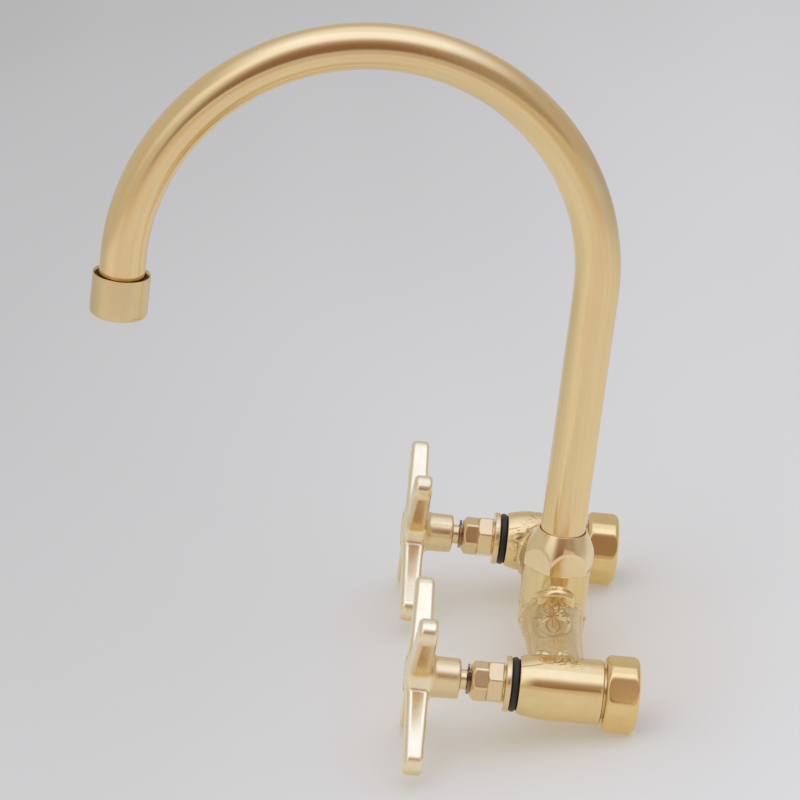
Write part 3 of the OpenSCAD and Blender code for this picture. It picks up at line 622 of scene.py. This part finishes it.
def sunburst(centre):
    """Strokes of short rays that open towards the valve body."""
    strokes = []
    for k in range(-5, 6):
        ray = [[0, 0], [4.5 - 0.4 * abs(k), 0]]
        strokes.append((placed(ray, centre + (0, 1.5 * k), math.radians(12 * k)), 0.34, 0.25))
    return strokes


def make_ornament():
    """Strokes of the engraving on an arm, each a polyline with its half width and depth."""
    middle = np.array([28.0, 2.2])
    frame_centre = middle + np.array([2.5, 0.3])
    strokes = flower(middle) + oval_frame(frame_centre)
    strokes += edge_band(-14.6) + edge_band(17.6)
    return strokes + sunburst(frame_centre + np.array([20.0, 0]))


def make_barrel_ornament():
    """Punched dots round the top of a barrel, along its axis and around it."""
    random = np.random.default_rng(4)
    strokes = []
    for _ in range(170):
        spot = np.array([random.uniform(6, 26), random.triangular(14, 23, 34)])
        dot = placed([[0, 0], [random.uniform(0.1, 0.5), 0]], spot, random.uniform(0, TURN))
        strokes.append((dot, 0.3, random.uniform(0.05, 0.18)))
    return strokes


def dense(points, spacing=0.25):
    """Points along a polyline at an even spacing."""
    points = np.asarray(points, float)
    gaps = np.linalg.norm(np.diff(points, axis=0), axis=1)
    reached = np.concatenate([[0], np.cumsum(gaps)])
    wanted = np.linspace(0, reached[-1], max(2, math.ceil(reached[-1] / spacing) + 1))
    return np.stack([np.interp(wanted, reached, points[:, k]) for k in range(2)], -1)


def engraving(along, around, strokes):
    """Depth of the engraved strokes at points of the unrolled surface."""
    depth = np.zeros(along.shape)
    for line, half_width, deep in strokes:
        line = dense(line)
        low = line.min(0) - 3 * half_width
        high = line.max(0) + 3 * half_width
        near = (along > low[0]) & (along < high[0]) & (around > low[1]) & (around < high[1])
        if not near.any():
            continue
        spots = np.stack([along[near], around[near]], -1)
        distance = np.full(len(spots), np.inf)
        for point in line:
            distance = np.minimum(distance, np.hypot(*(spots - point).T))
        depth[near] = np.maximum(depth[near], deep * np.exp(-((distance / half_width) ** 2)))
    return depth


# Brazed seams

def add_seam(name, centres, outward, seed, size):
    """Brazed seam along a closed curve: an uneven fillet with beads."""
    count = len(centres)
    sides = 14
    beads = 22
    along = np.roll(centres, -1, 0) - np.roll(centres, 1, 0)
    along /= np.linalg.norm(along, axis=1)[:, None]
    outward = outward - along * np.einsum("ij,ij->i", outward, along)[:, None]
    outward /= np.linalg.norm(outward, axis=1)[:, None]
    across = np.cross(along, outward)
    random = np.random.default_rng(seed)
    girth = size * (1 + 0.18 * ripple(centres, 7, seed))
    reached = np.arange(count)
    for _ in range(beads):
        bead = random.integers(count)
        gap = np.minimum(abs(reached - bead), count - abs(reached - bead))
        girth += size * random.uniform(0.2, 0.8) * np.exp(-((gap / random.uniform(1.5, 4)) ** 2))
    angle = np.linspace(0, TURN, sides, endpoint=False)
    section = outward[:, None] * np.cos(angle)[:, None] + 1.3 * across[:, None] * np.sin(angle)[:, None]
    points = centres[:, None] + section * girth[:, None, None]
    add_piece(name, points, "brass_braze", "root")


def add_body_seams(side, name):
    """Seams round the bridge's ends, at the valve body and at the boss."""
    t = np.linspace(0, TURN, 220, endpoint=False)
    y = BRIDGE_R * np.sin(t)
    z = BRIDGE_R * np.cos(t)
    x = HALF_CENTRES - np.sqrt(BODY_R ** 2 - z ** 2)
    centres = np.stack([side * (x - 0.6), BRIDGE_Y + y, z], -1)
    outward = np.stack([side * (x - HALF_CENTRES) / BODY_R, np.sin(t), np.cos(t) + z / BODY_R], -1)
    add_seam("braze_barrel_" + name, centres, outward, 21 + side, 1.35)
    r = BRIDGE_ROOT_R - 0.1
    y = r * np.sin(t)
    z = r * np.cos(t)
    x = np.sqrt(BOSS_R ** 2 - y ** 2)
    centres = np.stack([side * x, BRIDGE_Y + y, z], -1)
    outward = np.stack([side * x / BOSS_R, np.sin(t) + y / BOSS_R, np.cos(t)], -1)
    add_seam("braze_boss_" + name, centres, outward, 31 + side, 0.9)


# Handles, modelled as a distance function

def other_axes(axis):
    """The two axes besides one, in order."""
    return [k for k in range(3) if k != axis]


def cell_points(distance, corner, value):
    """Number of each crossed cell of a grid, and its point on the surface."""
    inside = value < 0
    shape = tuple(np.array(value.shape) - 1)
    total = np.zeros((*shape, 3))
    count = np.zeros(shape)
    lower, upper = slice(0, -1), slice(1, None)
    for axis in range(3):
        a, b = other_axes(axis)
        for side_a in (lower, upper):
            for side_b in (lower, upper):
                index = [lower] * 3
                index[a], index[b] = side_a, side_b
                first = tuple(index)
                index[axis] = upper
                second = tuple(index)
                here, there = value[first], value[second]
                crossed = inside[first] != inside[second]
                t = np.where(crossed, here / np.where(crossed, here - there, 1), 0)[..., None]
                spot = corner[first] * (1 - t) + corner[second] * t
                total += np.where(crossed[..., None], spot, 0)
                count += crossed
    used = count > 0
    number = np.full(used.shape, -1)
    number[used] = np.arange(used.sum())
    points = total[used] / count[used][:, None]
    for _ in range(3):
        here = distance(points)
        slope = np.stack([(distance(points + step) - distance(points - step)) / 0.02
                          for step in np.eye(3) * 0.01], -1)
        points = points - slope * (here / np.maximum((slope ** 2).sum(-1), 0.2))[:, None]
    return number, points


def cell_faces(number, inside):
    """Faces between the crossed cells round every grid edge that leaves the solid."""
    faces = []
    for axis in range(3):
        a, b = other_axes(axis)
        low_side = np.take(inside, range(inside.shape[axis] - 1), axis)
        high_side = np.take(inside, range(1, inside.shape[axis]), axis)
        spots = np.argwhere(low_side != high_side)
        spots = spots[(spots[:, a] > 0) & (spots[:, b] > 0)]
        spots = spots[(spots[:, a] < inside.shape[a] - 1) & (spots[:, b] < inside.shape[b] - 1)]
        step_a = np.eye(3, dtype=int)[a]
        step_b = np.eye(3, dtype=int)[b]
        around = [spots, spots - step_a, spots - step_a - step_b, spots - step_b]
        quads = np.stack([number[tuple(cells.T)] for cells in around], -1)
        flip = low_side[tuple(spots.T)] ^ (axis == 1)
        quads[flip] = quads[flip][:, ::-1]
        faces.append(quads)
    return np.concatenate(faces)


def surface_of(distance, low, high, cell):
    """Points and faces of the zero level of a distance function, one point in each crossed cell."""
    axes = [np.arange(a, b + cell, cell) for a, b in zip(low, high)]
    corner = np.stack(np.meshgrid(*axes, indexing="ij"), -1)
    value = distance(corner)
    number, points = cell_points(distance, corner, value)
    return points, cell_faces(number, value < 0)


def rounded_slab(a, b, rounding):
    """Distance to a slab with rounded edges, from the distances past its sides and its faces."""
    outside = np.hypot(np.maximum(a, 0), np.maximum(b, 0))
    return outside + np.minimum(np.maximum(a, b), 0) - rounding


def finger(along, across, depth):
    """Distance to one arm: a flat finger, rounded at its edges and its tip."""
    far = ARM_REACH - ARM_TIP_W / 2
    t = np.clip(along / far, 0, 1)
    half_w = (ARM_ROOT_W + (ARM_TIP_W - ARM_ROOT_W) * t) / 2
    half_t = (ARM_T + (ARM_TIP_T - ARM_T) * t) / 2
    rounding = 1.7 + 0.5 * smooth_step(1.5, -1.5, depth)
    reach = np.hypot(np.maximum(along - far, 0), across)
    body = rounded_slab(reach - (half_w - rounding), np.abs(depth) - (half_t - rounding), rounding)
    return np.maximum(body, -along - 4)


def can(radial, depth, radius, low, high, rounding):
    """Distance to a short cylinder with rounded edges."""
    past_faces = np.abs(depth - (low + high) / 2) - ((high - low) / 2 - rounding)
    return rounded_slab(radial - (radius - rounding), past_faces, rounding)


def handle_distance(hub_back):
    """Distance function of the four-armed handle about its arms' middle; +Y is towards the wall."""
    front = -ARM_T / 2
    screw_seat = 0.9
    bore_r = 4.6
    recess_r = 7.22

    def distance(points):
        x, y, z = points[..., 0], points[..., 1], points[..., 2]
        u = np.abs(x * math.cos(ARM_ANGLE) + z * math.sin(ARM_ANGLE))
        v = np.abs(z * math.cos(ARM_ANGLE) - x * math.sin(ARM_ANGLE))
        radial = np.hypot(x, z)
        solid = soft_min(finger(u, v, y), finger(v, u, y), 4.5)
        solid = soft_min(solid, can(radial, y, HUB_R + 0.6, front, ARM_T / 2, 1.6), 3.0)
        hub = can(radial, y, HUB_R - 0.25 * smooth_step(0, hub_back, y), 0, hub_back, 1.2)
        solid = soft_min(solid, hub, 2.0)
        hole = can(radial, y, bore_r, screw_seat, hub_back + 5, 0.2)
        pocket = can(radial, y, recess_r, front - 5, screw_seat, 0.2)
        return np.maximum(np.maximum(solid, -hole), -pocket)
    return distance


def add_handle(side, name, body):
    """Cross handle in one piece, its arms run into the hub with soft fillets."""
    front, back = span("cross_handle_" + name)[:, 1]
    middle = front + ARM_T / 2
    hub_back = back - middle
    distance = handle_distance(hub_back)
    reach = ARM_REACH * math.sin(ARM_ANGLE) + 4
    start = (-reach, -ARM_T / 2 - 1, -reach)
    end = (reach, hub_back + 1, reach)
    points, faces = surface_of(distance, start, end, cell=0.62)
    # Painted shade: the hub and the faces that turn down take the handle's darker tone.
    step = np.array([0, 0, 0.05])
    facing_up = (distance(points + step) - distance(points - step)) / 0.1
    shaded_hub = smooth_step(ARM_T / 2 - 0.8, ARM_T / 2 + 1.2, points[:, 1])
    tone = np.maximum(shaded_hub, smooth_step(0.0, -0.6, facing_up))
    wear = ripple(points, 14, 8)[:, None] * 0.03
    points = points + wear * np.array([0.4, 1, 0.4])
    points = points + np.array([side * HALF_CENTRES, middle, 0])
    add_piece("handle_" + name, points, "brass_handle", body, ("cross_handle_" + name,), faces, cut=tone)


# Pieces of the headwork

def add_bonnet_ring(side, name):
    """Rubber ring squeezed between the headwork's flange and the valve body."""
    low, high = span("bonnet_o_ring_" + name)
    middle = (low[1] + high[1]) / 2
    half = (high[1] - low[1]) / 2 - 0.02
    outer = (high[0] - low[0]) / 2
    inner = outer - 3.2
    bulge = 1.3
    face = [(outer - bulge * (1 - math.cos(a)), middle + half * math.sin(a))
            for a in np.linspace(-math.pi / 2, math.pi / 2, 15)]
    profile = np.array(face + [(inner, middle + half), (inner, middle - half)])
    add_turned("bonnet_ring_" + name, profile, 128, on_barrel(side), "rubber_black",
               "root", ("bonnet_o_ring_" + name,))


def add_gland(side, name):
    """Gland nut with a chamfered face, screwed on the headwork's nose."""
    front, back = span("gland_nut_" + name)[:, 1]
    outer = 8.35
    thread_r = 6.02
    spindle_r = 4.55
    face_r = 6.3
    wall_back = front + 2.8
    corners = [(outer, back, 0.3), (thread_r, back, 0.1), (thread_r, wall_back, 0.1),
               (spindle_r, wall_back, 0.1), (spindle_r, front, 0.25), (face_r, front, 0.5),
               (outer, front + 1.8, 0.7)]
    add_turned("gland_" + name, outline(corners, 0.4), 168, on_barrel(side), "brass_machined",
               "root", ("gland_nut_" + name,), hexagon(GLAND_FLATS, GLAND_TURN, 0.4))


# Finishes

def new_finish():
    """Empty node material with its tree and shader."""
    material = bpy.data.materials.new("finish")
    material.use_nodes = True
    tree = material.node_tree
    return material, tree, tree.nodes["Principled BSDF"]


def add_node(tree, kind, inputs=None, **settings):
    """Shader node with its settings; an input given as a socket is linked."""
    made = tree.nodes.new("ShaderNode" + kind)
    for key, value in settings.items():
        setattr(made, key, value)
    for key, value in (inputs or {}).items():
        if isinstance(value, bpy.types.NodeSocket):
            tree.links.new(value, made.inputs[key])
        else:
            made.inputs[key].default_value = value
    return made


def noise(tree, coordinates, stretch, scale, detail):
    """Noise value over stretched coordinates."""
    mapping = add_node(tree, "Mapping", {"Vector": coordinates, "Scale": stretch})
    inputs = {"Vector": mapping.outputs[0], "Scale": scale, "Detail": detail}
    return add_node(tree, "TexNoise", inputs).outputs[0]


def remap(tree, value, low, high, to_low, to_high):
    """Value moved from one range to another and held inside it."""
    inputs = {"Value": value, "From Min": low, "From Max": high, "To Min": to_low, "To Max": to_high}
    return add_node(tree, "MapRange", inputs).outputs[0]


def blend(tree, factor, first, second):
    """Mix of two colours."""
    made = add_node(tree, "Mix", data_type="RGBA")
    tree.links.new(factor, made.inputs[0])
    for socket, colour in ((made.inputs[6], first), (made.inputs[7], second)):
        if isinstance(colour, bpy.types.NodeSocket):
            tree.links.new(colour, socket)
        else:
            socket.default_value = (*colour, 1)
    return made.outputs[2]


def brass(light, dark, roughness, stretch, scale, grain, use_uv=False, soften=0.0, patina_and_shade_tone=None):
    """Brass with faint patches of tone, brushing, fine scratches and soft edges.

    The mesh's cut attribute lays the tone of the last argument on: patina in engraved cuts and stains, painted
    shade on a handle's hub and undersides.
    """
    material, tree, shader = new_finish()
    source = add_node(tree, "TexCoord")
    place = source.outputs["UV" if use_uv else "Object"]
    body = source.outputs["Object"]
    lines = noise(tree, place, stretch, scale, 5.0)
    cloud = noise(tree, body, (1, 1, 1), 45.0, 4.0)
    speck = noise(tree, body, (1, 1, 1), 900.0, 2.0)
    tone = blend(tree, remap(tree, cloud, 0.25, 0.75, 0, 1), dark, light)
    fade = remap(tree, lines, 0.35, 0.65, 0.0, 0.35)
    tone = blend(tree, fade, tone, tuple(0.86 * c for c in light))
    if patina_and_shade_tone:
        cut = add_node(tree, "Attribute", attribute_name="cut").outputs["Fac"]
        tone = blend(tree, cut, tone, patina_and_shade_tone)
    tree.links.new(tone, shader.inputs["Base Color"])
    rough = remap(tree, lines, 0.3, 0.7, roughness * 0.82, roughness * 1.2)
    tree.links.new(rough, shader.inputs["Roughness"])
    shader.inputs["Metallic"].default_value = 1.0
    fine = add_node(tree, "Bump", {"Height": lines, "Strength": grain, "Distance": 0.0002})
    pits = {"Height": speck, "Strength": grain, "Distance": 0.0001, "Normal": fine.outputs[0]}
    tree.links.new(add_node(tree, "Bump", pits).outputs[0], shader.inputs["Normal"])
    if soften > 0:
        edge = add_node(tree, "Bevel", {"Radius": soften * MM}, samples=8)
        tree.links.new(edge.outputs[0], fine.inputs["Normal"])
    return material


def plain(light, dark, roughness, metallic=0.0, scale=400.0):
    """Rubber, plastic, ceramic or steel with faint mottling."""
    material, tree, shader = new_finish()
    body = add_node(tree, "TexCoord").outputs["Object"]
    speck = noise(tree, body, (1, 1, 1), scale, 3.0)
    tone = blend(tree, remap(tree, speck, 0.3, 0.7, 0, 1), dark, light)
    tree.links.new(tone, shader.inputs["Base Color"])
    rough = remap(tree, speck, 0.3, 0.7, roughness * 0.85, roughness * 1.15)
    tree.links.new(rough, shader.inputs["Roughness"])
    shader.inputs["Metallic"].default_value = metallic
    bump = add_node(tree, "Bump", {"Height": speck, "Strength": 0.15, "Distance": 0.0001})
    tree.links.new(bump.outputs[0], shader.inputs["Normal"])
    return material


def make_finishes():
    """All finishes by name; most names are slots of the record."""
    gold = (0.90, 0.70, 0.35)
    pale = (0.90, 0.75, 0.45)
    even = (1, 1, 1)
    return {
        "brass_spout": brass((0.93, 0.72, 0.38), (0.91, 0.68, 0.36), 0.19, (2.2, 9, 1), 4.0, 0.03, True),
        "brass_polished": brass((0.91, 0.69, 0.32), (0.89, 0.66, 0.30), 0.12, even, 200.0, 0.02),
        "brass_body": brass(gold, (0.87, 0.67, 0.34), 0.11, even, 220.0, 0.03, patina_and_shade_tone=PATINA),
        "brass_boss": brass(gold, (0.87, 0.68, 0.36), 0.19, (1, 1, 0.1), 260.0, 0.05),
        "brass_engraved": brass(pale, (0.80, 0.59, 0.28), 0.36, even, 500.0, 0.12, patina_and_shade_tone=PATINA),
        "brass_braze": brass(pale, (0.72, 0.52, 0.24), 0.3, even, 500.0, 0.5),
        "brass_outlet": brass((0.86, 0.68, 0.38), (0.80, 0.61, 0.32), 0.25, (5, 5, 0.6), 60.0, 0.03),
        # The handle's brass is painted paler than the rest as a painted highlight, and its hub and undersides take
        # a darker painted shade.
        "brass_handle": brass((1.0, 0.88, 0.61), (0.98, 0.85, 0.56), 0.25, even, 120.0, 0.012,
                              patina_and_shade_tone=HANDLE_SHADE),
        # The dome nut's brass is a paler copy of the polished brass, a painted reflection of the pale sheet.
        "brass_dome": brass((0.95, 0.77, 0.46), (0.93, 0.74, 0.43), 0.11, even, 200.0, 0.02),
        "brass_machined": brass((0.92, 0.74, 0.44), (0.84, 0.64, 0.36), 0.2, (0.3, 6, 0.3), 160.0, 0.05,
                                soften=0.9),
        # Near-black, rough brass on the outlet adapter.
        "brass_near_black": brass((0.15, 0.09, 0.09), (0.09, 0.06, 0.065), 0.45, (1, 1, 4), 160.0, 0.2),
        "rubber_black": plain((0.024, 0.018, 0.016), (0.010, 0.008, 0.008), 0.4),
        "ceramic_white": plain((0.86, 0.85, 0.82), (0.80, 0.79, 0.75), 0.12),
        "spring_steel": plain((0.62, 0.38, 0.24), (0.10, 0.07, 0.06), 0.3, 1.0, 160.0),
        "steel_bright": plain((0.65, 0.64, 0.62), (0.55, 0.54, 0.52), 0.25, 1.0),
        "plastic_white": plain((0.83, 0.83, 0.8), (0.76, 0.76, 0.72), 0.35),
    }


def dress_cad():
    """Puts each CAD node's finish on it."""
    for row in frame["record"]["subparts"]:
        node = frame["nodes"][row["node"]]
        node.data.materials.clear()
        node.data.materials.append(finishes[NODE_FINISH.get(row["node"], row["material_slot"])])


# Studio

def make_camera():
    """Camera at the photograph's viewing angle, with its lens and its tilt."""
    a, e, r = (math.radians(v) for v in (VIEW_AZIMUTH, VIEW_ELEVATION, VIEW_ROLL))
    towards = Vector((math.cos(e) * math.sin(a), -math.cos(e) * math.cos(a), math.sin(e)))
    level = Vector((math.cos(a), math.sin(a), 0.0))
    upright = towards.cross(level)
    right = level * math.cos(r) + upright * math.sin(r)
    up = upright * math.cos(r) - level * math.sin(r)
    data = bpy.data.cameras.new("view")
    data.sensor_width = SENSOR_MM
    data.lens = FOCAL_PIXELS / IMAGE_PIXELS * SENSOR_MM
    data.clip_end = 20
    camera = bpy.data.objects.new("view", data)
    bpy.context.scene.collection.objects.link(camera)
    turn = Matrix((right, up, towards)).transposed()
    camera.matrix_world = Matrix.Translation(VIEW_TARGET + towards * VIEW_DISTANCE) @ turn.to_4x4()
    bpy.context.scene.camera = camera


def math_node(tree, operation, first, second=0.0):
    """Result of one sum."""
    return add_node(tree, "Math", {0: first, 1: second}, operation=operation).outputs[0]


def product(tree, first, second):
    """First times second."""
    return math_node(tree, "MULTIPLY", first, second)


def window(tree, value, limits, soft):
    """1 between two limits, 0 outside them, with soft edges."""
    low, high = limits
    rise = remap(tree, value, low - soft, low + soft, 0, 1)
    fall = remap(tree, value, high - soft, high + soft, 1, 0)
    return product(tree, rise, fall)


def directions(tree):
    """Azimuth and elevation of a ray in degrees, the azimuth counted from the camera's side."""
    ray = add_node(tree, "TexCoord").outputs["Generated"]
    x, y, z = add_node(tree, "SeparateXYZ", {0: ray}).outputs
    side = math.radians(VIEW_AZIMUTH)

    def along(to_x, to_y):
        return math_node(tree, "ADD", product(tree, x, to_x), product(tree, y, to_y))

    forward = along(math.sin(side), -math.cos(side))
    rightward = along(math.cos(side), math.sin(side))
    to_degrees = 180 / math.pi
    azimuth = product(tree, math_node(tree, "ARCTAN2", rightward, forward), to_degrees)
    elevation = product(tree, math_node(tree, "ARCSINE", z), to_degrees)
    return azimuth, elevation


def make_world():
    """Room seen by the brass: lamps overhead, a white card at the left and a dark middle."""
    world = bpy.data.worlds.new("studio")
    bpy.context.scene.world = world
    world.use_nodes = True
    tree = world.node_tree
    azimuth, elevation = directions(tree)
    aside = math_node(tree, "ABSOLUTE", azimuth)

    colour = blend(tree, window(tree, azimuth, (30, 150), 30), ROOM_LEFT, ROOM_RIGHT)
    card = product(tree, window(tree, azimuth, CARD_SPAN, 6), remap(tree, elevation, 2, 40, 0, 1))
    colour = blend(tree, card, colour, CARD)

    back = product(tree, remap(tree, aside, 80, 130, 0, 1), BACK_DIMMING)
    full = remap(tree, aside, 40, 100, SOFTBOX_FULL, SOFTBOX_FULL_ASIDE)
    lamps = remap(tree, elevation, SOFTBOX_FROM, full, 0, 1)
    lamps = product(tree, lamps, math_node(tree, "ADD", back, 1.0))
    colour = blend(tree, lamps, colour, SOFTBOX)

    side = product(tree, window(tree, azimuth, SIDE_SPAN, 10), window(tree, elevation, SIDE_RISE, 8))
    colour = blend(tree, product(tree, side, SIDE_SHARE), colour, DARK)
    middle = window(tree, azimuth, MIDDLE_SPAN, 7)
    for tone, fade in ((BROWN, BROWN_FADE), (DARK, DARK_FADE)):
        share = product(tree, middle, remap(tree, elevation, *fade, 1, 0))
        colour = blend(tree, share, colour, tone)
    tree.links.new(colour, tree.nodes["Background"].inputs["Color"])


def add_stage(name, corners, faces, material):
    """Mesh that isn't part of the object, in metres."""
    mesh = bpy.data.meshes.new(name)
    mesh.from_pydata(corners, [], faces)
    mesh.materials.append(material)
    stage = bpy.data.objects.new(name, mesh)
    bpy.context.scene.collection.objects.link(stage)
    return stage


def make_panel(name, left, right, foot, top, low_colour, edge_colour):
    """Upright panel in front of the faucet, seen by glossy rays alone."""
    azimuth = math.radians(VIEW_AZIMUTH)
    middle = Vector((math.sin(azimuth), -math.cos(azimuth), 0)) * PANEL_DISTANCE
    across = Vector((math.cos(azimuth), math.sin(azimuth), 0))
    corners = [middle + across * x + Vector((0, 0, z)) for z in (foot, top) for x in (left, right)]
    material, tree, shader = new_finish()
    shader.inputs["Base Color"].default_value = (0, 0, 0, 1)
    shader.inputs["Specular IOR Level"].default_value = 0
    body = add_node(tree, "TexCoord").outputs["Object"]
    height = add_node(tree, "SeparateXYZ", {0: body}).outputs[2]
    colour = blend(tree, remap(tree, height, PANEL_FADE_FROM, top, 0, 1), low_colour, edge_colour)
    tree.links.new(colour, shader.inputs["Emission Color"])
    shader.inputs["Emission Strength"].default_value = 1
    panel = add_stage(name, corners, [(0, 1, 3, 2)], material)
    panel.visible_camera = False
    panel.visible_diffuse = False
    panel.visible_shadow = False
    panel.visible_transmission = False


def sheet_colour(tree, body, x, y):
    """Painted light falling off, paler towards the camera and the right, faint painted fold shading, and painted
    golden bounce light and shade by the faucet.
    """
    fold_shading = noise(tree, body, (0.6, 3.0, 1), 2.2, 1.0)
    # Painted light: paler towards the camera and the right, with painted shading of faint folds.
    level = remap(tree, x, -1.1, 0.1, 0, 0.4)
    for ramp in ((y, -0.5, 0.35, 0, 0.5), (x, 0.1, 0.5, 0, 0.25), (fold_shading, 0.35, 0.65, -0.03, 0.03)):
        level = math_node(tree, "ADD", level, remap(tree, *ramp))
    colour = blend(tree, level, SHEET_FAR, SHEET_NEAR)
    # Painted bounce light and shade: a warm, darker tone round the faucet.
    oblong = {"Vector": body, "Location": (0, 0.035, 0), "Scale": (0.6, 1, 0)}
    beside = add_node(tree, "Mapping", oblong).outputs[0]
    beside = add_node(tree, "VectorMath", {0: beside}, operation="LENGTH").outputs["Value"]
    return blend(tree, remap(tree, beside, 0.02, 0.1, SHEET_PAINTED_BOUNCE_SHARE, 0), colour, SHEET_PAINTED_BOUNCE)


def sheet_finish():
    """Pale sheet that glows a little for the camera and, by distance, in reflections."""
    material, tree, shader = new_finish()
    shader.inputs["Roughness"].default_value = 0.9
    shader.inputs["Specular IOR Level"].default_value = 0.1
    body = add_node(tree, "TexCoord").outputs["Object"]
    x, y, _ = add_node(tree, "SeparateXYZ", {0: body}).outputs
    colour = sheet_colour(tree, body, x, y)
    tree.links.new(colour, shader.inputs["Emission Color"])

    rays = add_node(tree, "LightPath").outputs
    reach = add_node(tree, "VectorMath", {0: body}, operation="LENGTH").outputs["Value"]
    mirrored = math_node(tree, "MAXIMUM", remap(tree, y, -0.2, -0.05, MIRROR_LEFT_GLOW, 0),
                         remap(tree, reach, 0.05, MIRROR_REACH, MIRROR_GLOW, MIRROR_FAR_GLOW))
    glow = math_node(tree, "ADD", product(tree, rays["Is Camera Ray"], SHEET_GLOW),
                     product(tree, rays["Is Glossy Ray"], mirrored))
    tree.links.new(glow, shader.inputs["Emission Strength"])

    seen = math_node(tree, "MAXIMUM", rays["Is Camera Ray"], rays["Is Glossy Ray"])
    lit = math_node(tree, "SUBTRACT", 1.0, product(tree, seen, SHEET_FILL))
    tree.links.new(blend(tree, lit, (0, 0, 0), colour), shader.inputs["Base Color"])
    return material


def make_floor():
    """Pale sheet under the faucet, which lies on its union nuts and the tips of its handles."""
    nut_low, nut_high = span("union_nut_right")
    handle_low, _ = span("cross_handle_right")
    nut_y = (nut_low[1] + nut_high[1]) / 2
    handle_y = handle_low[1] + ARM_T / 2
    slope = (nut_low[2] - handle_low[2]) / (nut_y - handle_y)
    foot = (nut_low[2] - SHEET_GAP) * MM
    corners = []
    for x, y in ((-1, -1), (1, -1), (1, 1), (-1, 1)):
        depth = y * SHEET_HALF
        corners.append((x * SHEET_HALF, depth, foot + slope * (depth - nut_y * MM)))
    add_stage("sheet", corners, [(0, 1, 2, 3)], sheet_finish())


make_camera()
make_world()
make_floor()
for name, panel in PANELS.items():
    make_panel(name, *panel)
finishes = make_finishes()
dress_cad()

ornament = make_ornament()
barrel_ornament = make_barrel_ornament()

add_spout()
add_spout_nut()
add_aerator_shell()
add_boss()
for side, name, water in ((1, "right", "cold"), (-1, "left", "hot")):
    add_valve_body(side, name)
    add_union_nut(side, name, water + "_union_nut")
    add_bridge_arm(side, name)
    add_body_seams(side, name)
    add_bonnet_ring(side, name)
    add_gland(side, name)
    add_handle(side, name, water + "_handle")

bpy.context.scene.view_settings.view_transform = "Standard"
